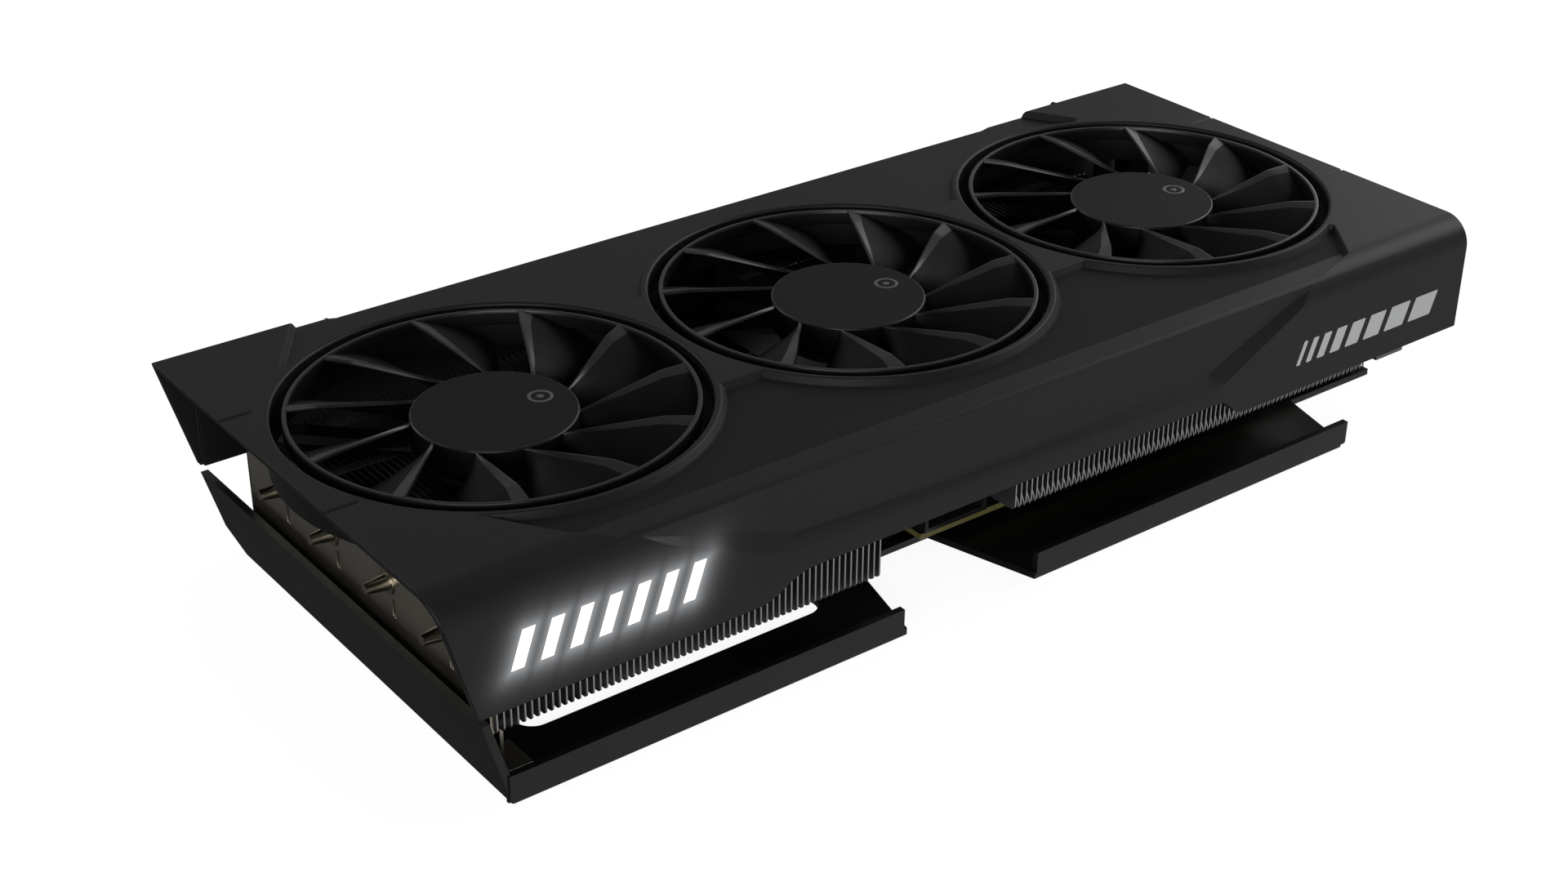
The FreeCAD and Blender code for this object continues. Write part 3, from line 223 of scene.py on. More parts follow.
# %% Finish
class Finish(Diagram):
    """A material being written, around one Principled shader."""

    def __init__(self, name, colour, roughness, metallic=0.0, **fixed):
        self.material = bpy.data.materials.new(name)
        self.material.use_nodes = True
        super().__init__(self.material.node_tree)
        self.shader = self.tree.nodes["Principled BSDF"]
        self.set("Base Color", colour)
        self.set("Roughness", roughness)
        self.set("Metallic", metallic)
        for key, value in fixed.items():
            self.set(key.replace("_", " "), value)
        self.place = self.node("ShaderNodeTexCoord", output="Object")

    def set(self, socket, value):
        """Links a Signal to one of the shader's sockets, or sets its constant."""
        self.link(value, self.shader.inputs[socket])

    def axes(self):
        """The three Object coordinates, in metres."""
        split = self.node("ShaderNodeSeparateXYZ", inputs={"Vector": self.place})
        made = split.socket.node
        return [Signal(self, made.outputs[axis]) for axis in "XYZ"]

    def stretched(self, scale):
        """Object coordinates scaled along each axis, to draw a pattern out into lines."""
        return self.node("ShaderNodeMapping", inputs={"Vector": self.place, "Scale": scale})

    def noise(self, scale, detail=2.0, vector=None):
        """Smooth noise between 0 and 1, with `scale` lumps to the metre."""
        inputs = {"Vector": vector or self.place, "Scale": scale, "Detail": detail}
        return self.node("ShaderNodeTexNoise", inputs=inputs)

    def band(self, signal, low, high):
        """0 below low, 1 above high, and a straight slope between."""
        ends = {"stops": [(low, 0.0), (high, 1.0)]}
        return self.node("ShaderNodeValToRGB", ends, {"Fac": signal})

    def mix(self, factor, first, second):
        """One colour turning into another."""
        inputs = {0: factor, 6: first, 7: second}
        return self.node("ShaderNodeMix", {"data_type": "RGBA"}, inputs, output=2)

    def bump(self, height, distance):
        """Small relief, `distance` metres deep where the height signal goes from 0 to 1."""
        inputs = {"Height": height, "Distance": distance, "Strength": 1.0}
        self.set("Normal", self.node("ShaderNodeBump", inputs=inputs))


print("shader helpers ready")

# %% [markdown]
# ## Moulded plastic
#
# The shroud, the fans and the motor bases are injection-moulded. Their mould is
# spark-eroded, which leaves a grain of about a fifth of a millimetre, and the melt flows
# unevenly, which shows as broad patches that are slightly more or less shiny. One function
# makes the whole family: a colour, a shine and a depth of grain.


# %% Moulded plastics
def moulded(name, colour, roughness, grain=0.012 * MM, patches=0.06, **fixed):
    """Black plastic with spark-eroded grain and faint flow patches."""
    finish = Finish(name, colour, roughness, **fixed)
    flow = finish.noise(22.0, 3.0)
    speck = finish.noise(3800.0, 2.0)
    darker = tuple(c * 0.82 for c in colour)
    lighter = tuple(c * 1.22 for c in colour)
    finish.set("Base Color", finish.mix(flow * 0.6 + speck * 0.4, darker, lighter))
    finish.dullness = flow * patches + speck * 0.05 + (roughness - patches / 2)
    finish.set("Roughness", finish.dullness)
    finish.bump(speck, grain)
    return finish


cap_black = moulded("cap_black", (0.0046, 0.0046, 0.0048), 0.58, grain=0.008 * MM,
                    Specular_IOR_Level=0.33)
motor_black = moulded("motor_black", (0.003, 0.003, 0.0032), 0.6)
socket_black = moulded("socket_black", (0.014, 0.014, 0.015), 0.32, grain=0.004 * MM)
print("moulded plastics: 3")

# %% [markdown]
# The shroud gets the same grain and two things more. The recessed panel on its near side
# has a coarser grain than the faces round it, so it is duller. And the light that leaks round
# the lit bars in its near wall is painted on the plastic beside them as a soft glowing halo,
# in the shroud's emission colour. The halo is a formula: the distance from a point of the
# wall to the nearest leaning bar, fading over two millimetres.

# %% Shroud plastic with the lamps' halo
BARS = 7
BAR_PITCH = 7.2 * MM
BAR_WIDTH = 3.0 * MM
BAR_LEAN = 3.2 * MM
EDGE = 1.5 * MM
HALO_FADE = 2.1 * MM
HALO_LEVEL = 0.34
HALO_DEPTH = 2.0 * MM
BAR_INSET = 2.0 * MM
RECESS = 1.9 * MM
RECESS_DULL = 0.3
ROUNDED_EDGE = 9.0 * MM
bar_x = bars_low.x + BAR_INSET
bar_z0 = bars_low.z + EDGE
bar_z1 = bars_high.z - EDGE


shroud_black = moulded("shroud_black", (0.0045, 0.0045, 0.0047), 0.46, patches=0.05)
x, y, z = shroud_black.axes()
level_with_floor = abs(z - (shroud_high.z - RECESS)) < 0.3 * MM
recessed = level_with_floor * (y > WALL_FACE + ROUNDED_EDGE) * (y < 0.0)
shroud_black.set("Roughness", shroud_black.dullness + recessed * RECESS_DULL)
slope = BAR_LEAN / (bar_z1 - bar_z0)
along = x - (z - bar_z0) * slope - (bar_x + BAR_WIDTH / 2)
nearest = (along / BAR_PITCH).maths("ROUND").least(BARS - 1.0).most(0.0)
beside = (abs(along - nearest * BAR_PITCH) - BAR_WIDTH / 2).most(0.0)
above = (z - bar_z1).most(bar_z0 - z).most(0.0)
gap = (beside * beside + above * above) ** 0.5
# painted glow: the halo's emission lays a pool of light on the wall beside the bars
halo = (gap * (-1.0 / HALO_FADE)).maths("EXPONENT")
halo = halo * (y < WALL_FACE + HALO_DEPTH) * HALO_LEVEL
shroud_black.set("Emission Color", shroud_black.mix(halo, (0.0, 0.0, 0.0), (0.95, 0.97, 1.0)))
shroud_black.set("Emission Strength", 1.0)
print("halo round", BARS, "bars")

# %% [markdown]
# ## Fan plastic
#
# The blades are dull in their depth and shiny on top: the leading edges and the rims were
# polished in the mould, and hands and cloths only ever reach those. A thin clear coat
# carries that shine. Its weight is a formula: how far a point lies below the line of the
# leading edges, which rises from the hub to the ring.

# %% Fan plastic
SHINE_DEPTH = 0.75 * MM
RING_TOP = rotor_high.z
RISE_FROM = 0.39
RISE_RUN = 0.45
fan_black = moulded("fan_black", (0.0028, 0.0028, 0.003), 0.5, Specular_IOR_Level=0.17,
                    Coat_Roughness=0.3)
x, y, z = fan_black.axes()
spacing = fan_x["right"] - fan_x["middle"]
across = x - (x / spacing).maths("ROUND") * spacing
outward = (across * across + y * y) ** 0.5 / ROTOR_R
rise = ((outward - RISE_FROM) / RISE_RUN).most(0.0).least(1.0)
below = rise * (RING_TOP - HUB_TOP) + HUB_TOP - z
fan_black.set("Coat Weight", (below < SHINE_DEPTH) * 0.95)
print("fan plastic shines to", SHINE_DEPTH / MM, "mm below its edges")

# %% [markdown]
# ## Light, ink and paint
#
# The bars are frosted plastic with a lamp behind the middle of each, so they are brightest
# at the centre. The ink is a thin matt white. The backplate is sheet metal with a powder
# coat, whose skin is a fine orange peel instead of a grain.

# %% Frosted light, ink and powder coat
glow = Finish("frosted_light", (0.85, 0.87, 0.9), 0.45)
x, y, z = glow.axes()
middle = (bar_z0 + bar_z1) / 2
fade = abs(z - middle) / ((bar_z1 - bar_z0) / 2)
frost = glow.noise(900.0)
level = 1.0 - fade * fade * 0.25 - frost * 0.1
glow.set("Emission Color", glow.mix(level, (0.35, 0.37, 0.42), (1.0, 1.0, 1.0)))
glow.set("Emission Strength", 2.6)
glow.bump(frost, 0.02 * MM)

ink = Finish("white_ink", (0.62, 0.63, 0.64), 0.55)
pits = ink.noise(2600.0, 3.0)
ink.set("Base Color", ink.mix(pits, (0.8, 0.81, 0.82), (0.9, 0.91, 0.92)))
ink.bump(pits, 0.01 * MM)

powder = Finish("powder_coat", (0.0045, 0.0045, 0.0047), 0.42)
peel = powder.noise(1400.0, 1.0)
dust = powder.noise(60.0, 4.0)
powder.set("Base Color", powder.mix(dust, (0.0036, 0.0036, 0.0038), (0.0054, 0.0054, 0.0056)))
powder.set("Roughness", peel * 0.08 + dust * 0.08 + 0.32)
powder.bump(peel, 0.025 * MM)
print("light, ink and paint: 3")

# %% [markdown]
# ## Metals
#
# Rolled, drawn and plated metal all have a direction. Noise that is squeezed along one
# axis gives the lines of rolling or drawing, and a broad noise on top gives the tarnish
# and the finger marks. One function makes them from the direction of the lines.


# %% Metals
def metal(name, colour, roughness, lines=(1.0, 1.0, 1.0), stain=0.12, depth=0.004 * MM):
    """Bare or plated metal whose fine lines run along the axis that `lines` squeezes."""
    finish = Finish(name, colour, roughness, metallic=1.0)
    streak = finish.noise(2400.0, 2.0, finish.stretched(lines))
    tarnish = finish.noise(45.0, 4.0)
    dull = tuple(c * (1.0 - 2.2 * stain) for c in colour)
    finish.set("Base Color", finish.mix(tarnish * 0.7 + streak * 0.3, dull, colour))
    finish.set("Roughness", streak * 0.14 + tarnish * 0.1 + (roughness - 0.12))
    finish.bump(streak, depth)
    return finish


fin_metal = metal("fin_metal", (0.5, 0.5, 0.51), 0.36, lines=(1.0, 1.0, 0.03))
nickel_sheet = metal("nickel_sheet", (0.72, 0.67, 0.56), 0.34, lines=(1.0, 0.04, 1.0), stain=0.2)
nickel_pipe = metal("nickel_pipe", (0.50, 0.46, 0.37), 0.24, lines=(0.02, 1.0, 1.0), stain=0.16)
nickel_block = metal("nickel_block", (0.62, 0.58, 0.49), 0.28, lines=(0.03, 1.0, 1.0))
dark_frame = metal("dark_frame", (0.06, 0.06, 0.065), 0.42, lines=(0.05, 1.0, 1.0))
bright_steel = metal("bright_steel", (0.56, 0.56, 0.57), 0.26, lines=(1.0, 0.05, 1.0))
bracket_steel = metal("bracket_steel", (0.23, 0.23, 0.235), 0.36, lines=(1.0, 0.03, 1.0))
black_zinc = metal("black_zinc", (0.045, 0.045, 0.05), 0.34, stain=0.2)
sintered = metal("sintered_bronze", (0.52, 0.35, 0.17), 0.5, depth=0.02 * MM)
gold = metal("gold_flash", (0.83, 0.62, 0.27), 0.22, stain=0.05)
can_metal = metal("can_metal", (0.66, 0.66, 0.68), 0.3, lines=(1.0, 1.0, 0.05))
print("metals: 11")

# %% [markdown]
# Copper windings are the one metal that isn't a sheet. A coil is many turns of enamelled
# wire, so a wave across the coil gives the turns their round backs as a bump, and the same
# wave darkens the colour in the grooves between them as painted shade.

# %% Windings
winding = Finish("enamelled_copper", (0.55, 0.22, 0.09), 0.3, metallic=1.0)
x, y, z = winding.axes()
turns_and_groove_shade = (z * (2 * math.pi / (0.45 * MM))).maths("SINE")
turns_and_groove_shade = turns_and_groove_shade * 0.5 + 0.5
# painted shade: the dark colour lies in the grooves between the turns
winding.set("Base Color", winding.mix(turns_and_groove_shade, (0.25, 0.085, 0.03), (0.68, 0.3, 0.13)))
winding.bump(turns_and_groove_shade, 0.12 * MM)
print("windings ready")

# %% [markdown]
# ## Board and chips
#
# The board is laminate with a black mask over its copper. Under the mask the tracks stand
# up by a few hundredths of a millimetre and look a little lighter, and the milled edge
# shows the olive of the bare laminate. The tracks come from a brick pattern whose mortar
# is the track, and the surface's own normal tells the edge from the faces.

# %% Laminate
laminate = Finish("laminate", (0.012, 0.014, 0.012), 0.36)
bricks = {"Vector": laminate.place, "Scale": 1.0, "Mortar Size": 0.00022,
          "Brick Width": 0.0064, "Row Height": 0.0016}
tracks = laminate.node("ShaderNodeTexBrick", {"offset": 0.37}, bricks, output="Fac")
broken = laminate.band(laminate.noise(140.0, 1.0), 0.44, 0.5)
tracks = tracks * broken
weave = laminate.noise(900.0, 2.0)
face = laminate.mix(tracks, (0.009, 0.011, 0.0095), (0.022, 0.028, 0.021))
edge = laminate.mix(weave, (0.13, 0.115, 0.035), (0.26, 0.23, 0.085))
normal = laminate.node("ShaderNodeNewGeometry", output="Normal")
upright = laminate.node("ShaderNodeSeparateXYZ", inputs={"Vector": normal}, output="Z")
sideways = 1.0 - (abs(upright) > 0.5)
laminate.set("Base Color", laminate.mix(sideways, face, edge))
laminate.set("Roughness", tracks * -0.06 + sideways * 0.3 + weave * 0.06 + 0.34)
laminate.bump(tracks + weave * 0.15, 0.035 * MM)


def potted(name, dark, light, roughness, scale, depth):
    """A cast or pressed compound: chips, ferrites, pads and the package's carrier."""
    finish = Finish(name, dark, roughness)
    lumps = finish.noise(scale, 4.0)
    finish.set("Base Color", finish.mix(lumps, dark, light))
    finish.set("Roughness", lumps * 0.15 + (roughness - 0.07))
    finish.bump(lumps, depth)
    return finish


epoxy = potted("chip_epoxy", (0.012, 0.012, 0.013), (0.03, 0.03, 0.032), 0.5, 2600.0, 0.01 * MM)
ferrite = potted("ferrite", (0.045, 0.046, 0.05), (0.1, 0.1, 0.105), 0.62, 1500.0, 0.04 * MM)
carrier = potted("package_carrier", (0.01, 0.04, 0.016), (0.02, 0.07, 0.03), 0.42, 700.0, 0.01 * MM)
silicon = potted("silicon", (0.09, 0.095, 0.11), (0.12, 0.125, 0.145), 0.16, 300.0, 0.001 * MM)
pad = potted("thermal_pad", (0.2, 0.24, 0.28), (0.32, 0.37, 0.42), 0.8, 900.0, 0.05 * MM)
white_mask = potted("white_mask", (0.55, 0.55, 0.52), (0.68, 0.68, 0.65), 0.4, 500.0, 0.01 * MM)
print("board finishes: 7")

# %% [markdown]
# ## Mesh helpers
#
# Three ways of making a shape cover nearly everything here. A lathe turns a profile about
# the upright axis. A plate is an outline with holes and a thickness, made by a flat curve.
# A softened copy takes a finished part, welds its loose triangles and rounds its edges, so
# that they catch the light as a moulding's or a folded sheet's edges do.


# %% Finished pieces
def piece(name, mesh, finish, body="card", stands_for=(), crease=35.0):
    """Links a mesh as a piece that rides on a body, with its finish and its smoothing."""
    made = bpy.data.objects.new(name, mesh)
    scene.collection.objects.link(made)
    mesh.materials.clear()
    mesh.materials.append(finish.material)
    mesh.shade_smooth()
    mesh.set_sharp_from_angle(angle=math.radians(crease))
    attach(made, body)
    if stands_for:
        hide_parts(*stands_for)
    print(f"{name}: {len(mesh.polygons)} faces")
    return made


def to_mesh(name, bm):
    """A mesh from a bmesh, welded, with its faces pointing outwards."""
    bmesh.ops.remove_doubles(bm, verts=bm.verts, dist=0.0005 * MM)
    bmesh.ops.recalc_face_normals(bm, faces=bm.faces)
    mesh = bpy.data.meshes.new(name)
    bm.to_mesh(mesh)
    bm.free()
    return mesh


def joined(name, meshes):
    """One mesh out of several."""
    bm = bmesh.new()
    for mesh in meshes:
        bm.from_mesh(mesh)
    made = bpy.data.meshes.new(name)
    bm.to_mesh(made)
    bm.free()
    return made


# %% Rounded outlines, lathe and plate
def rounded(points, radius, steps=4):
    """A closed outline with every corner turned by an arc of the given radius."""
    made = []
    for index, point in enumerate(points):
        here = Vector(point)
        before = Vector(points[index - 1]) - here
        after = Vector(points[(index + 1) % len(points)]) - here
        half = before.angle(after) / 2
        reach = min(radius / math.tan(half), before.length * 0.49, after.length * 0.49)
        start, end = here + before.normalized() * reach, here + after.normalized() * reach
        for step in range(steps + 1):
            t = step / steps
            made.append(start * (1 - t) ** 2 + here * 2 * t * (1 - t) + end * t ** 2)
    return made


AXIS = 0.02 * MM


def corner_points(radius, height, offsets):
    """Points of a profile, from offsets in millimetres from one of its corners."""
    return [(radius + outward * MM, height + up * MM) for outward, up in offsets]


def lathe(name, profile, steps):
    """A closed profile of (radius, height) points, turned about the upright axis."""
    bm = bmesh.new()
    rings = []
    for radius, height in profile:
        ring = []
        for step in range(steps):
            angle = 2 * math.pi * step / steps
            ring.append(bm.verts.new((radius * math.cos(angle), radius * math.sin(angle), height)))
        rings.append(ring)
    for lower, upper in zip(rings, rings[1:] + rings[:1]):
        for step in range(steps):
            after = (step + 1) % steps
            bm.faces.new((lower[step], lower[after], upper[after], upper[step]))
    return to_mesh(name, bm)


def plate(name, outline, holes, thick):
    """A flat plate in the XY plane with holes, centred on its thickness."""
    curve = bpy.data.curves.new(name, "CURVE")
    curve.dimensions = "2D"
    curve.fill_mode = "BOTH"
    curve.extrude = thick / 2
    for loop in [outline, *holes]:
        spline = curve.splines.new("POLY")
        spline.points.add(len(loop) - 1)
        for point, place in zip(spline.points, loop):
            point.co = (place[0], place[1], 0.0, 1.0)
        spline.use_cyclic_u = True
    holder = bpy.data.objects.new(name, curve)
    scene.collection.objects.link(holder)
    graph = bpy.context.evaluated_depsgraph_get()
    raw = bpy.data.meshes.new_from_object(holder.evaluated_get(graph), depsgraph=graph)
    bpy.data.objects.remove(holder)
    bm = bmesh.new()
    bm.from_mesh(raw)
    return to_mesh(name, bm)


def circle(centre_u, centre_v, radius, steps):
    """Points round a circle, for a plate's outline or hole."""
    angles = [2 * math.pi * step / steps for step in range(steps)]
    return [(centre_u + radius * math.cos(a), centre_v + radius * math.sin(a)) for a in angles]


# A plate's (u, v, w) laid on the frame's axes.
ACROSS_X = Matrix(((0, 0, 1, 0), (1, 0, 0, 0), (0, 1, 0, 0), (0, 0, 0, 1)))
ON_NEAR_WALL = Matrix(((1, 0, 0, 0), (0, 0, -1, 0), (0, 1, 0, 0), (0, 0, 0, 1)))


def moved(mesh, matrix):
    """The same mesh after a turn or a shift."""
    mesh.transform(matrix)
    return mesh


# %% Softened copies
SHARP_EDGE = math.radians(28.0)
SAME_PLANE = math.radians(0.2)
ANY_SHAPE = math.radians(170.0)


def softened(node, finish, width, clamp=True):
    """A welded copy of a frame part with its edges rounded. It stands for that part."""
    bm = bmesh.new()
    bm.from_mesh(nodes[node].data)
    bmesh.ops.remove_doubles(bm, verts=bm.verts, dist=0.001 * MM)
    bmesh.ops.join_triangles(bm, faces=bm.faces, angle_face_threshold=SAME_PLANE,
                             angle_shape_threshold=ANY_SHAPE)
    mesh = bpy.data.meshes.new(node + "_soft")
    bm.to_mesh(mesh)
    bm.free()
    mesh.attributes.remove(mesh.attributes["custom_normal"])
    made = piece(node + "_soft", mesh, finish, body=nodes[node]["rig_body"],
                 stands_for=[node])
    bevel = made.modifiers.new("edges", "BEVEL")
    bevel.width = width
    bevel.segments = 2
    bevel.limit_method = "ANGLE"
    bevel.angle_limit = SHARP_EDGE
    bevel.use_clamp_overlap = clamp
    bevel.loop_slide = False
    weighted = made.modifiers.new("shading", "WEIGHTED_NORMAL")
    weighted.keep_sharp = True
    weighted.weight = 80
    return made


print("mesh helpers ready")

# %% [markdown]
# ## Repeats
#
# Fins, blades, contacts and small chips are one shape many times over. A Geometry Nodes
# tree says so directly: points in a row or round a circle, one shape on each point. Each
# tree has named inputs for its sizes, and its result is turned into a plain mesh here.


# %% Repeats
class Repeat(Diagram):
    """A Geometry Nodes tree that puts one shape on many points."""

    SOCKETS = {float: "Float", int: "Int", tuple: "Vector", bpy.types.Object: "Object",
               bpy.types.Material: "Material"}

    def __init__(self, name, shape, finish, **sizes):
        super().__init__(bpy.data.node_groups.new(name, "GeometryNodeTree"))
        self.name = name
        self.shape = bpy.data.objects.new(name + "_shape", shape)
        self.sizes = {**sizes, "Shape": self.shape, "Finish": finish.material}
        face = self.tree.interface
        face.new_socket("Geometry", in_out="INPUT", socket_type="NodeSocketGeometry")
        for key, value in self.sizes.items():
            kind = self.SOCKETS[type(value)]
            face.new_socket(key, in_out="INPUT", socket_type="NodeSocket" + kind)
        face.new_socket("Geometry", in_out="OUTPUT", socket_type="NodeSocketGeometry")
        self.given = self.tree.nodes.new("NodeGroupInput")

    def size(self, key):
        return Signal(self, self.given.outputs[key])

    def copies(self, points, **more):
        """The tree's end: the shape on each point, made real and given its finish."""
        shape = self.node("GeometryNodeObjectInfo", inputs={"Object": self.size("Shape")},
                          output="Geometry")
        placed = self.node("GeometryNodeInstanceOnPoints",
                           inputs={"Points": points, "Instance": shape, **more})
        real = self.node("GeometryNodeRealizeInstances", inputs={0: placed})
        done = self.node("GeometryNodeSetMaterial",
                         inputs={0: real, "Material": self.size("Finish")})
        end = self.tree.nodes.new("NodeGroupOutput")
        self.link(done, end.inputs[0])
        holder = bpy.data.objects.new(self.name, bpy.data.meshes.new(self.name + "_start"))
        scene.collection.objects.link(holder)
        modifier = holder.modifiers.new(self.name, "NODES")
        modifier.node_group = self.tree
        for socket in self.tree.interface.items_tree:
            if socket.in_out == "INPUT" and socket.name in self.sizes:
                modifier[socket.identifier] = self.sizes[socket.name]
        graph = bpy.context.evaluated_depsgraph_get()
        mesh = bpy.data.meshes.new_from_object(holder.evaluated_get(graph), depsgraph=graph)
        for spare in (holder, self.shape):
            bpy.data.objects.remove(spare)
        mesh.name = self.name
        return mesh


def in_a_row(name, shape, finish, count, start, step):
    """The shape `count` times, each a step further along."""
    row = Repeat(name, shape, finish, Count=count, Start=start, Step=step)
    points = row.node("GeometryNodeMeshLine", {"mode": "OFFSET"},
                      {"Count": row.size("Count"), "Start Location": row.size("Start"),
                       "Offset": row.size("Step")})
    return row.copies(points)


def round_an_axis(name, shape, finish, count, centre, first):
    """The shape `count` times round an upright axis, the first one turned by `first`."""
    ring = Repeat(name, shape, finish, Count=count, Centre=centre, First=first)
    still = {"Count": ring.size("Count"), "Start Location": ring.size("Centre"),
             "Offset": (0.0, 0.0, 0.0)}
    points = ring.node("GeometryNodeMeshLine", {"mode": "OFFSET"}, still)
    turn = ring.node("GeometryNodeInputIndex") * (2 * math.pi) / ring.size("Count")
    turn = ring.node("ShaderNodeCombineXYZ", inputs={"Z": turn + ring.size("First")})
    return ring.copies(points, Rotation=turn)


def at_places(name, shape, finish, places):
    """The shape once at each given place."""
    spots = bpy.data.meshes.new(name + "_places")
    spots.from_pydata([tuple(place) for place in places], [], [])
    marker = bpy.data.objects.new(name + "_places", spots)
    spread = Repeat(name, shape, finish, Places=marker)
    points = spread.node("GeometryNodeObjectInfo", inputs={"Object": spread.size("Places")},
                         output="Geometry")
    mesh = spread.copies(points)
    bpy.data.objects.remove(marker)
    return mesh


print("repeats ready")

# %% [markdown]
# ## Separate solids of one part
#
# Some parts of the frame are many equal solids, such as screws or cans. Following the
# joined faces from vertex to vertex finds each of them, and its box says where it is.


# %% Solids of a part
def solids_of(node):
    """(lowest, highest) corners of each separate solid of a frame part."""
    bm = bmesh.new()
    bm.from_mesh(nodes[node].data)
    bmesh.ops.remove_doubles(bm, verts=bm.verts, dist=0.001 * MM)
    seen, found = set(), []
    for first in bm.verts:
        if first in seen:
            continue
        group, front = [first], [first]
        seen.add(first)
        while front:
            vertex = front.pop()
            for edge in vertex.link_edges:
                other = edge.other_vert(vertex)
                if other not in seen:
                    seen.add(other)
                    group.append(other)
                    front.append(other)
        corners = [[v.co[i] for v in group] for i in range(3)]
        found.append((Vector([min(c) for c in corners]), Vector([max(c) for c in corners])))
    bm.free()
    return sorted(found, key=lambda box: (round(box[0].x, 5), round(box[0].y, 5)))


print("sheet screws:", len(solids_of("backplate_screws")))

# %% Dressing
dress = {
    "shroud": shroud_black, "light_guide": glow, "light_board": white_mask,
    "fan_screws": black_zinc, "left_fin_stack": fin_metal, "right_fin_stack": fin_metal,
    "fin_end_plate": nickel_sheet, "cold_plate": nickel_block,
    "cooler_frame": dark_frame, "circuit_board": laminate, "gpu_package": carrier,
    "gpu_die": silicon, "memory_chips": epoxy, "thermal_pads": pad, "power_chokes": ferrite,
    "power_stages": epoxy, "capacitors": can_metal, "power_socket": socket_black,
    "power_pins": gold, "displayport_sockets": bright_steel, "hdmi_socket": bright_steel,
    "io_bracket": bracket_steel, "bracket_screws": black_zinc, "backplate": powder,
    "backplate_screws": black_zinc, "retention_spring": bright_steel,
    "retention_screws": black_zinc,
}
for index in PIPES:
    dress[f"heat_pipe_{index}"] = nickel_pipe
for side in SIDES:
    dress[f"fan_rotor_{side}"] = fan_black
    dress[f"hub_cap_{side}"] = cap_black
    dress[f"magnet_ring_{side}"] = ferrite
    dress[f"fan_shaft_{side}"] = bright_steel
    dress[f"motor_base_{side}"] = motor_black
    dress[f"sleeve_bearing_{side}"] = sintered
    dress[f"stator_{side}"] = winding
for name, finish in dress.items():
    nodes[name].material_slots[0].material = finish.material
print("dressed", len(dress), "of", len(nodes), "nodes")

# %% [markdown]
# ## Softened parts
#
# No moulding or folded sheet has a truly sharp edge, and the thin bright line along each
# edge is what makes it look real. The visible large parts are copied from the frame,
# welded and given a small round on every edge.

# %% Softened parts
softened("shroud", shroud_black, 0.2 * MM, clamp=False)
softened("backplate", powder, 0.22 * MM)
softened("fin_end_plate", nickel_sheet, 0.15 * MM)
softened("io_bracket", bracket_steel, 0.12 * MM)
softened("power_socket", socket_black, 0.2 * MM)
for side in SIDES:
    softened(f"hub_cap_{side}", cap_black, 0.14 * MM)

# %% [markdown]
# ## Fan blades
#
# A blade is a twisted, bowed sheet. Its leading edge is high and nearly radial, with a
# kink near the ring, and its trailing edge is low and swept back. A blade follows a rule,
# so it is written as one: each edge is a few straight runs against the distance from the
# axis, and the skin between them is bowed. The nose is blunt with rounded corners, since
# that is what shows as a thin grey line. Geometry Nodes put it round the hub.

# %% Blade rule
BLADES = 11
BLADE_T = 1.1 * MM
BLADE_DROP = 9.5 * MM
NOSE_BELOW = 0.4 * MM
BLADE_START = math.radians(19.1)
HUB_R = 19.7 * MM
RING_WALL = 1.2 * MM
RING_HEIGHT = 4.0 * MM
HUB_LOW = rotor_low.z
LEAD = ((0.39, -0.143), (0.84, -0.026), (0.985, 0.0), (1.2, 0.04))
TRAIL = ((0.39, -0.178), (0.565, -0.289), (0.985, -0.45), (1.2, -0.53))
BOW = 0.2
BOW_ASIDE, BOW_UP = 0.4, 0.9
TAIL_THINNER = 0.35
CHORD_SHARES = (0.0, 0.06, 0.15, 0.28, 0.42, 0.56, 0.7, 0.84, 0.94, 1.0)
RADIUS_SHARES = (0.392, 0.412, 0.44, 0.49, 0.55, 0.6, 0.66, 0.72, 0.78, 0.82, 0.84, 0.86, 0.9,
                 0.94, 0.984)
NOSE = ((1.0, 0.0), (1.0, 0.6), (0.86, 0.92), (0.6, 1.0),
        (-0.6, 1.0), (-0.86, 0.92), (-1.0, 0.6), (-1.0, 0.0))


def along_runs(runs, distance):
    """The height of a line of straight runs at a distance, all as shares of the radius."""
    share = distance / ROTOR_R
    for (a, at_a), (b, at_b) in zip(runs, runs[1:]):
        if share <= b or b == runs[-1][0]:
            return (at_a + (at_b - at_a) * (share - a) / (b - a)) * ROTOR_R


def blade_point(radius, chord):
    """Where the middle of the blade is, at a radius and a share of its chord."""
    low, high = 0.25 * ROTOR_R, radius
    for _ in range(40):
        distance = (low + high) / 2
        lead, trail = along_runs(LEAD, distance), along_runs(TRAIL, distance)
        side = lead + (trail - lead) * chord
        if math.hypot(distance, side) < radius:
            low = distance
        else:
            high = distance
    rise = min(max((distance / ROTOR_R - RISE_FROM) / RISE_RUN, 0.0), 1.0)
    lead_z = HUB_TOP - NOSE_BELOW + (RING_TOP - HUB_TOP) * rise
    trail_z = RING_TOP - BLADE_DROP
    bow = BOW * chord * (1 - chord) * math.hypot(trail - lead, trail_z - lead_z)
    height = lead_z + (trail_z - lead_z) * chord
    return Vector((distance, side - bow * BOW_ASIDE, height + bow * BOW_UP))


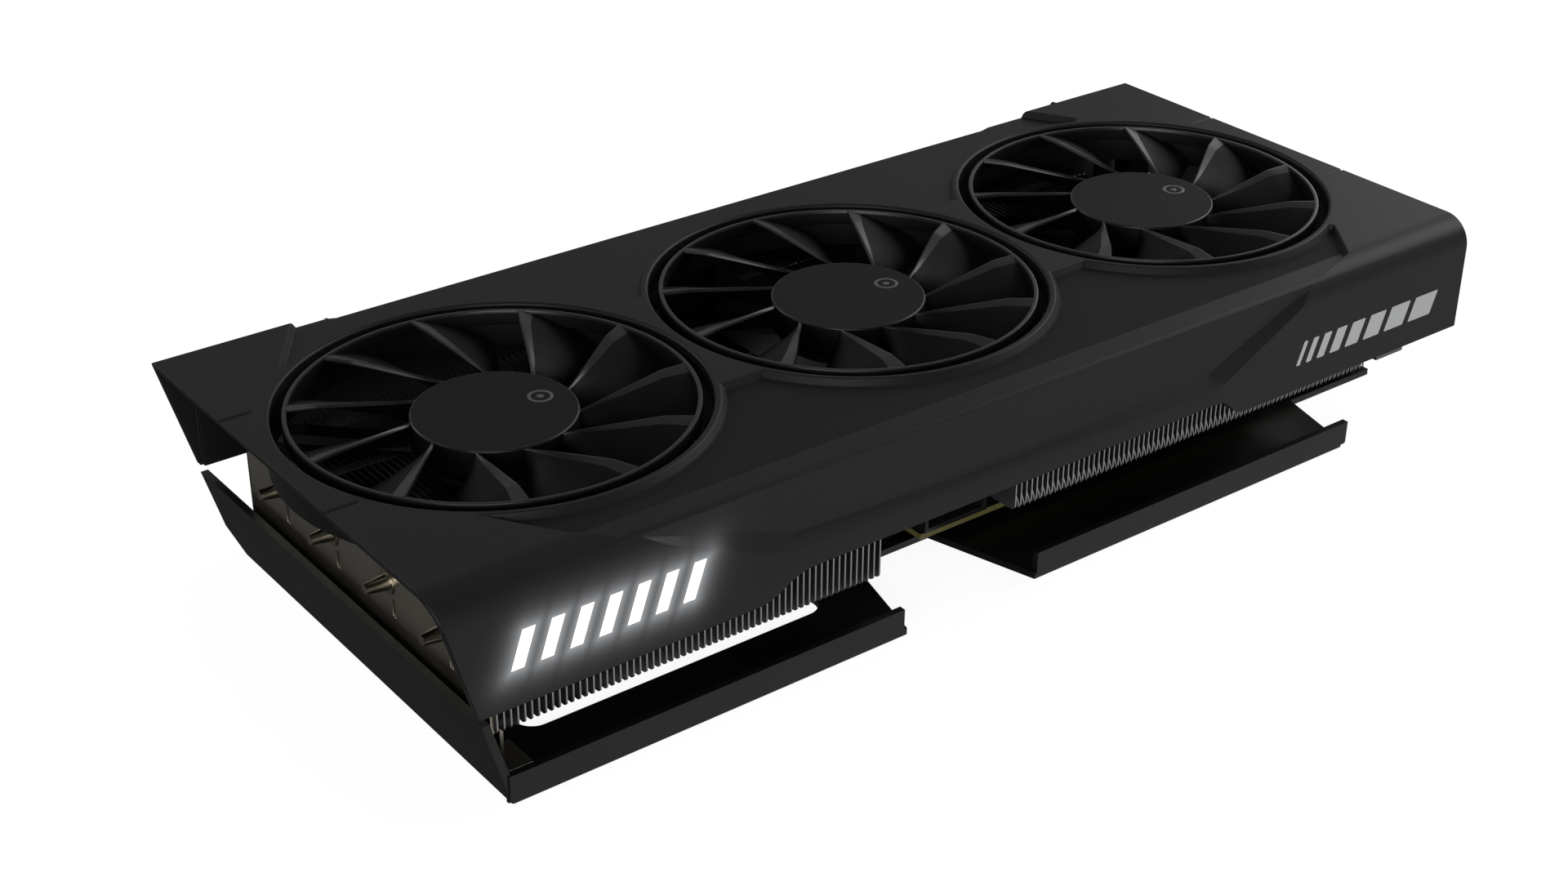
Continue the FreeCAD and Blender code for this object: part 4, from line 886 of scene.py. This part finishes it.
def blade_mesh():
    """One blade with its skin between the hub's wall and the ring."""
    bm = bmesh.new()
    loops = []
    half = BLADE_T / 2
    for radius in RADIUS_SHARES:
        line = [blade_point(radius * ROTOR_R, share) for share in CHORD_SHARES]
        across = (line[1] - line[0]).normalized()
        spin = Vector((line[0].x, line[0].y, 0)).normalized()
        normal = across.cross(spin).normalized()
        front = line[0] + across * half
        loop = [front + normal * n * half - across * f * half for n, f in reversed(NOSE)]
        upper, lower = [], []
        for index in range(1, len(line)):
            step = (line[min(index + 1, len(line) - 1)] - line[index - 1]).normalized()
            skin = step.cross(spin).normalized()
            thick = half * (1.0 - TAIL_THINNER * CHORD_SHARES[index])
            upper.append(line[index] + skin * thick)
            lower.append(line[index] - skin * thick)
        loops.append([bm.verts.new(p) for p in loop + upper + lower[::-1]])
    for inner, outer in zip(loops, loops[1:]):
        for index in range(len(inner)):
            after = (index + 1) % len(inner)
            bm.faces.new((inner[index], inner[after], outer[after], outer[index]))
    bm.faces.new(loops[0])
    bm.faces.new(loops[-1])
    return to_mesh("blade", bm)


one_blade = blade_mesh()
print("blade:", len(one_blade.polygons), "faces")

# %% [markdown]
# ## Hub, ring and mark
#
# The hub's cup and the ring are turned shapes, so a lathe makes both. The rim of the ring
# is rounded, because it is the brightest line in each fan. Each disc carries a small mark
# in satin grey. It is a plain ring with a dot, a mark that belongs to nobody.

# %% Fans
cap_mark = metal("cap_mark", (0.3, 0.3, 0.31), 0.4, depth=0.002 * MM)
BORE = 1.53 * MM
CUP_WALL = 1.4 * MM
recess = HUB_TOP - 0.5 * MM
roof = HUB_TOP - 1.4 * MM
cup_profile = [(BORE, roof), (HUB_R - CUP_WALL, roof), (HUB_R - CUP_WALL, HUB_LOW),
               *corner_points(HUB_R, HUB_LOW, ((-0.2, 0.0), (0.0, 0.2))),
               *corner_points(HUB_R, HUB_TOP, ((0.0, -0.45), (-0.1, -0.18), (-0.28, -0.03), (-0.4, 0.0),
                                        (-0.55, -0.02))),
               *corner_points(HUB_R, recess, ((-0.56, 0.0),)), (BORE, recess)]
inner = ROTOR_R - RING_WALL
ring_low = RING_TOP - RING_HEIGHT
ring_profile = [*corner_points(inner, ring_low, ((0.0, 0.2), (0.2, 0.0))),
                *corner_points(ROTOR_R, ring_low, ((-0.2, 0.0), (0.0, 0.2))),
                *corner_points(ROTOR_R, RING_TOP, ((0.0, -0.35), (-0.1, -0.1), (-0.35, 0.0))),
                *corner_points(inner, RING_TOP, ((0.35, 0.0), (0.1, -0.1), (0.0, -0.35)))]
MARK_AT = Vector((12.1 * MM, -0.5 * MM, 0.0))
MARK_INNER, MARK_OUTER, DOT_R = 2.3 * MM, 3.1 * MM, 0.85 * MM
low, high = cap_high.z - 0.03 * MM, cap_high.z + 0.06 * MM
outer_edge = ((0.0, -0.02), (-0.04, 0.0))
mark_profile = [(MARK_INNER, low), (MARK_OUTER, low), *corner_points(MARK_OUTER, high, outer_edge),
                *corner_points(MARK_INNER, high, ((0.04, 0.0), (0.0, -0.02)))]
dot_profile = [(AXIS, low), (DOT_R, low), *corner_points(DOT_R, high, outer_edge), (AXIS, high)]
for side in SIDES:
    place = Matrix.Translation((fan_x[side], 0.0, 0.0))
    blades = round_an_axis(f"blades_{side}", one_blade, fan_black, BLADES,
                           (fan_x[side], 0.0, 0.0), BLADE_START)
    cup = moved(lathe("cup", cup_profile, 128), place)
    ring = moved(lathe("ring", ring_profile, 160), place)
    rotor = joined(f"rotor_{side}", [cup, ring, blades])
    piece(f"rotor_{side}", rotor, fan_black, body=f"{side}_fan",
          stands_for=[f"fan_rotor_{side}"], crease=40.0)
    mark = joined(f"mark_{side}", [lathe("mark_ring", mark_profile, 48),
                                   lathe("dot", dot_profile, 32)])
    moved(mark, place @ Matrix.Translation(MARK_AT))
    piece(f"cap_mark_{side}", mark, cap_mark, body=f"{side}_fan")

# %% [markdown]
# ## Fins
#
# A fin block is a stack of thin sheets, and each sheet has small tabs folded over that
# hold it off the next one. The sheet is drawn once, as an outline with holes for the
# pipes, and a row repeats it. The tabs are what closes the top and bottom into strips.

# %% Fin shapes
FIN_T = 0.4 * MM
FIN_PITCH = 1.72 * MM
FIN_ROUND = 1.4 * MM
PIPE_HOLE = 3.12 * MM
STRIP = 3.0 * MM
COLLAR = ((3.05, 0.0), (3.45, 0.0), (3.3, 0.9), (3.05, 0.9))


def box_mesh(name, low, high):
    """A small block with chamfered long edges, for folded tabs and chips."""
    bm = bmesh.new()
    size = [high[i] - low[i] for i in range(3)]
    made = bmesh.ops.create_cube(bm, size=1.0)
    centre = [(high[i] + low[i]) / 2 for i in range(3)]
    for vertex in made["verts"]:
        vertex.co = [centre[i] + vertex.co[i] * size[i] for i in range(3)]
    round_by = min(size) * 0.2
    bmesh.ops.bevel(bm, geom=bm.edges[:], offset=round_by, segments=1, affect="EDGES")
    return to_mesh(name, bm)


def pipe_end(index):
    """Where pipe number `index` goes through the left block: its (y, z)."""
    points = [v.co for v in nodes[f"heat_pipe_{index}"].data.vertices]
    left = min(p.x for p in points)
    tip = [p for p in points if p.x < left + 0.01 * MM]
    return sum(p.y for p in tip) / len(tip), sum(p.z for p in tip) / len(tip)


pipe_ends = [pipe_end(index) for index in PIPES]
print("pipes at y, z:", [(round(y / MM, 1), round(z / MM, 1)) for y, z in pipe_ends])


def sheet_mesh(name, low, high, notch, holes, tabs):
    """One fin in its (y, z) outline, at x from 0 to the sheet's thickness, with tabs."""
    turn = [(low.y + FIN_ROUND * (1 - math.sin(a)), low.z + FIN_ROUND * (1 - math.cos(a)))
            for a in (math.radians(d) for d in (90, 67, 45, 22, 0))]
    outline = turn + [(high.y, low.z), (high.y, high.z)]
    outline += [(notch[0], high.z), notch, (low.y, notch[1])] if notch else [(low.y, high.z)]
    sheet = plate(name, outline, [circle(y, z, PIPE_HOLE, 18) for y, z in holes], FIN_T)
    moved(sheet, Matrix.Translation((FIN_T / 2, 0, 0)) @ ACROSS_X)
    return joined(name, [sheet, *tabs])


def tab(y, z):
    """A folded tab that reaches across to the next fin."""
    return box_mesh("tab", (FIN_T * 0.9, y, z), (FIN_PITCH - 0.05 * MM, y + STRIP, z + FIN_T))


def fin_block(side, one_fin, low, high):
    """A row of fins that fills a stack's length and stands for it."""
    count = round((high.x - low.x - FIN_T) / FIN_PITCH) + 1
    fins = in_a_row(f"{side}_fins", one_fin, fin_metal, count, (low.x, 0.0, 0.0),
                    (FIN_PITCH, 0.0, 0.0))
    piece(f"{side}_fins", fins, fin_metal, stands_for=[f"{side}_fin_stack"],
          crease=30.0)


# %% Left block
notch = (WALL_FACE + 6.7 * MM, bars_low.z - 1.0 * MM)
LEFT_STRIPS = (left_low.y + 11.4 * MM, -30.0 * MM, 15.0 * MM, left_high.y - 8.8 * MM)
tabs = []
for y in LEFT_STRIPS:
    tabs.append(tab(y, left_high.z - FIN_T))
    tabs.append(tab(y, left_low.z))
for y, z in pipe_ends:
    collar = lathe("collar", corner_points(0.0, 0.0, COLLAR), 18)
    tabs.append(moved(collar, Matrix.Translation((FIN_T, y, z)) @ ACROSS_X))
one_fin = sheet_mesh("left_fin", left_low, left_high, notch, pipe_ends, tabs)
fin_block("left", one_fin, left_low, left_high)

# %% Right block
RIGHT_STRIPS = (right_low.y + 5.4 * MM, -30.0 * MM, 20.0 * MM, right_high.y - 13.0 * MM)
LACE_WIDE = 0.9 * MM
LACE_NEAR, LACE_FAR = 0.25 * MM, 0.6 * MM
tabs = [tab(y, right_high.z - FIN_T) for y in RIGHT_STRIPS]
tabs.append(tab(right_high.y - 2 * STRIP, right_low.z))
lace = bmesh.new()
lace_low, lace_high = right_low.z + 0.2 * MM, right_low.z + 4.6 * MM
corners = [(FIN_T, lace_high), (FIN_T, lace_high - LACE_WIDE), (FIN_PITCH, lace_low),
           (FIN_PITCH, lace_low + LACE_WIDE)]
near = [lace.verts.new((x, right_low.y + LACE_NEAR, z)) for x, z in corners]
far = [lace.verts.new((x, right_low.y + LACE_FAR, z)) for x, z in corners]
lace.faces.new(near)
lace.faces.new(far)
for index in range(4):
    after = (index + 1) % 4
    lace.faces.new((near[index], near[after], far[after], far[index]))
tabs.append(to_mesh("lace", lace))
one_fin = sheet_mesh("right_fin", right_low, right_high, None, [], tabs)
fin_block("right", one_fin, right_low, right_high)

# %% [markdown]
# ## Printed mark
#
# The right end of the near wall carries a white print. A plain row of leaning strokes
# stands there, which get narrower towards the middle of the card. It is a thin film of
# ink, so it is a real layer two hundredths of a millimetre proud of the wall.

# %% Printed mark
MARK_X = shroud_high.x - 12.5 * MM
MARK_LOW, MARK_TALL, MARK_LEAN = 31.6 * MM, 6.6 * MM, 2.4 * MM
WIDTHS = (9.0, 7.6, 6.2, 5.0, 3.8, 2.8, 2.0, 1.4)
MARK_GAP = 2.2 * MM
strokes, x1 = [], MARK_X
for width in WIDTHS:
    x0 = x1 - width * MM
    z0, z1 = MARK_LOW, MARK_LOW + MARK_TALL
    outline = [(x0, z0), (x1, z0), (x1 + MARK_LEAN, z1), (x0 + MARK_LEAN, z1)]
    stroke = plate("stroke", rounded(outline, 0.35 * MM, 3), (), 0.05 * MM)
    strokes.append(moved(stroke, Matrix.Translation((0, WALL_FACE, 0)) @ ON_NEAR_WALL))
    x1 = x0 - MARK_GAP
piece("printed_mark", joined("printed_mark", strokes), ink)

# %% [markdown]
# ## Contacts and small chips
#
# The board's tongue carries gold contacts on both faces, one to the millimetre. The board
# is also sown with tiny resistors and capacitors. Their places are drawn from a fixed seed.

# %% Contacts
CONTACT_PITCH = 1.0 * MM
CONTACT_LONG, CONTACT_WIDE, CONTACT_PROUD = 5.2 * MM, 0.7 * MM, 0.02 * MM
TONGUES = (("long", 32.2 * MM, 71), ("short", 105.6 * MM, 11))
finger_tip = board_high.y - 0.5 * MM
pads = []
for name, x0, count in TONGUES:
    for face, z in (("top", board_high.z), ("bottom", board_low.z)):
        contact = box_mesh("contact", (0.0, finger_tip - CONTACT_LONG, z - CONTACT_PROUD),
                           (CONTACT_WIDE, finger_tip, z + CONTACT_PROUD))
        pads.append(in_a_row(f"contacts_{name}_{face}", contact, gold, count, (x0, 0.0, 0.0),
                             (CONTACT_PITCH, 0.0, 0.0)))
piece("edge_contacts", joined("edge_contacts", pads), gold)

# %% Small chips
CHIP_FIELD = (26.0 * MM, -41.0 * MM)
COLUMNS, COLUMN_PITCH = 34, 2.5 * MM
ROWS, ROW_PITCH = 5, 3.0 * MM
SCATTER = 0.3 * MM
LEFT_EMPTY = 0.45
LAID_ALONG = 0.6
CHIP_LONG, CHIP_WIDE, CHIP_TALL = 1.6 * MM, 0.8 * MM, 0.7 * MM
END_LONG = 0.28 * MM
draw = random.Random(7)
places, turned = [], []
for column in range(COLUMNS):
    for row in range(ROWS):
        if draw.random() < LEFT_EMPTY:
            continue
        x = CHIP_FIELD[0] + column * COLUMN_PITCH + draw.uniform(-SCATTER, SCATTER)
        y = CHIP_FIELD[1] + row * ROW_PITCH + draw.uniform(-SCATTER, SCATTER)
        laid = places if draw.random() < LAID_ALONG else turned
        laid.append((x, y, board_high.z))


def chip_parts(turn):
    """A chip's ceramic body and its two metal ends, as two shapes."""
    tip, wide = CHIP_LONG / 2, CHIP_WIDE / 2
    inside = tip - END_LONG
    body = box_mesh("chip", (-inside, -wide * 0.94, 0.0), (inside, wide * 0.94, CHIP_TALL * 0.96))
    ends = [box_mesh("end", (-tip, -wide, 0.0), (-inside, wide, CHIP_TALL)),
            box_mesh("end", (inside, -wide, 0.0), (tip, wide, CHIP_TALL))]
    spun = Matrix.Rotation(turn, 4, "Z")
    return moved(body, spun), moved(joined("ends", ends), spun)


bodies, ends = [], []
for name, spots, turn in (("along", places, 0.0), ("across", turned, math.pi / 2)):
    body, end = chip_parts(turn)
    bodies.append(at_places(f"chips_{name}", body, ferrite, spots))
    ends.append(at_places(f"ends_{name}", end, can_metal, spots))
piece("small_chips", joined("small_chips", bodies), ferrite)
piece("chip_ends", joined("chip_ends", ends), can_metal)

# %% [markdown]
# ## Cans and screws
#
# A capacitor's can has a black foot, a crimped neck and a rounded top; here the foot is
# drawn in the can's own metal. A screw's head has a rounded rim and a cross for the driver.
# Both are made once and set at the places of the frame's own cans and screws.

# %% Capacitor cans
cans = solids_of("capacitors")
can_r = (cans[0][1].x - cans[0][0].x) / 2
can_low, can_high = cans[0][0].z, cans[0][1].z
can_profile = [(AXIS, can_low), (can_r, can_low),
               *corner_points(can_r, can_low, ((0.0, 0.7), (-0.25, 1.0), (-0.25, 1.25), (-0.05, 1.5))),
               *corner_points(can_r, can_high, ((-0.05, -0.5), (-0.2, -0.15), (-0.5, 0.0))),
               (AXIS, can_high)]
centres = [((low.x + high.x) / 2, (low.y + high.y) / 2, 0.0) for low, high in cans]
tins = at_places("cans", lathe("can", can_profile, 24), can_metal, centres)
piece("capacitor_cans", tins, can_metal, stands_for=["capacitors"])


# %% Screws
SHANK_R = 1.18 * MM
HEAD_R = 2.5 * MM
RIM = 0.16 * MM
ARM, REACH = 0.28 * MM, 1.35 * MM
CROSS = [(ARM, ARM), (REACH, ARM), (REACH, -ARM), (ARM, -ARM), (ARM, -REACH), (-ARM, -REACH),
         (-ARM, -ARM), (-REACH, -ARM), (-REACH, ARM), (-ARM, ARM), (-ARM, REACH), (ARM, REACH)]


def screw_heads(node, head_from, head_to):
    """Cross-headed screws at the places of a frame part's. The face lies at head_to."""
    shapes, spots = [], []
    for low, high in solids_of(node):
        x, y = (low.x + high.x) / 2, (low.y + high.y) / 2
        spots.append((x, y, 0.0))
        far_end = high.z if head_from > head_to else low.z
        shank = lathe("shank", [(AXIS, head_from), (SHANK_R, head_from), (SHANK_R, far_end),
                                (AXIS, far_end)], 16)
        shapes.append(moved(shank, Matrix.Translation((x, y, 0.0))))
    deep = (head_to - head_from) * 0.6
    face = plate("face", circle(0, 0, HEAD_R - 0.15 * MM, 32), [CROSS], abs(deep))
    moved(face, Matrix.Translation((0, 0, head_to - deep / 2)))
    floor_of_cross = head_to - deep * 0.95
    rim = lathe("rim", [(HEAD_R - RIM, head_to), (HEAD_R, head_to - deep * 0.3), (HEAD_R, head_from),
                        (AXIS, head_from), (AXIS, floor_of_cross), (HEAD_R - RIM, floor_of_cross)], 32)
    heads = at_places(node + "_heads", joined("head", [face, rim]), black_zinc, spots)
    mesh = joined(node + "_made", [*shapes, heads])
    piece(node + "_made", mesh, black_zinc, stands_for=[node])


screw_heads("backplate_screws", 1.2 * MM, 0.2 * MM)
ear_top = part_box("bracket_screws")[1].z
screw_heads("bracket_screws", ear_top - 1.2 * MM, ear_top)

# %% [markdown]
# ## Floor and light
#
# The card lies on a lit white table, the kind that product pictures are taken on, so the
# floor glows and loses itself in the white round it. The table and the white are kept out
# of the card's reflections, as black flags do in a studio, and large soft panels light it
# instead: black plastic shows almost nothing but reflections, so a panel stands wherever
# a face or a rounded edge should pick up a band of grey. A panel's row gives its azimuth
# and elevation in degrees, its distance and width in metres, and its power in watts. A
# bounce is light off a wall: its azimuth and elevation, how narrow it is, and its level.

# %% Soft lights
scene.view_settings.view_transform = "Standard"
SKY_LIGHT = 0.045
BOUNCES = ((38, -25, 3.0, 0.5), (-157, -29, 6.0, 0.03))
PANELS = (("top_panel", 150, 78, 1.2, 1.0, 0.7), ("far_panel", 156, 27, 1.2, 1.1, 0.8),
          ("right_panel", 108, 21, 1.2, 0.7, 1.4), ("fillet_panel", 76, 33, 1.2, 0.5, 2.6),
          ("near_panel", -45, 9, 1.3, 0.9, 9.0), ("left_panel", -110, 25, 1.2, 0.6, 0.8),
          ("left_edge_panel", -149, 20, 1.2, 0.5, 1.2))


def softbox(name, azimuth, elevation, distance, size, power):
    """A square panel of light that faces the card."""
    lamp = bpy.data.lights.new(name, "AREA")
    lamp.shape = "SQUARE"
    lamp.size = size
    lamp.energy = power
    made = bpy.data.objects.new(name, lamp)
    scene.collection.objects.link(made)
    towards = direction(math.radians(azimuth), math.radians(elevation))
    turn = (-towards).to_track_quat("-Z", "Y").to_matrix().to_4x4()
    made.matrix_world = Matrix.Translation(towards * distance) @ turn


for panel in PANELS:
    softbox(*panel)

world = bpy.data.worlds.new("studio")
scene.world = world
world.use_nodes = True
sky = Diagram(world.node_tree)
seen = sky.node("ShaderNodeLightPath", output="Is Camera Ray")
ray = sky.node("ShaderNodeTexCoord", output="Generated")
bounce = SKY_LIGHT
for azimuth, elevation, narrow, level in BOUNCES:
    centre = tuple(direction(math.radians(azimuth), math.radians(elevation)))
    facing = sky.node("ShaderNodeVectorMath", {"operation": "DOT_PRODUCT"}, {0: ray, 1: centre},
                      output="Value")
    bounce = facing.most(0.0) ** narrow * level + bounce
background = world.node_tree.nodes["Background"].inputs
sky.link((1.0, 1.0, 1.0), background["Color"])
sky.link(seen * (1.0 - bounce) + bounce, background["Strength"])

# %% Floor
FLOOR_LEVEL = -0.5 * MM
FLOOR_REACH = 6.0
bm = bmesh.new()
bmesh.ops.create_grid(bm, x_segments=8, y_segments=8, size=FLOOR_REACH)
bmesh.ops.translate(bm, verts=bm.verts, vec=(0.0, 0.0, FLOOR_LEVEL))
floor_mesh = bpy.data.meshes.new("floor")
bm.to_mesh(floor_mesh)
bm.free()
floor = bpy.data.objects.new("floor", floor_mesh)
scene.collection.objects.link(floor)
pale = Finish("pale_table", (0.3, 0.3, 0.3), 0.8)
pale.set("Emission Color", (1.0, 1.0, 1.0))
pale.set("Emission Strength", 0.92)
floor_mesh.materials.append(pale.material)
floor.visible_glossy = False
floor.visible_diffuse = False
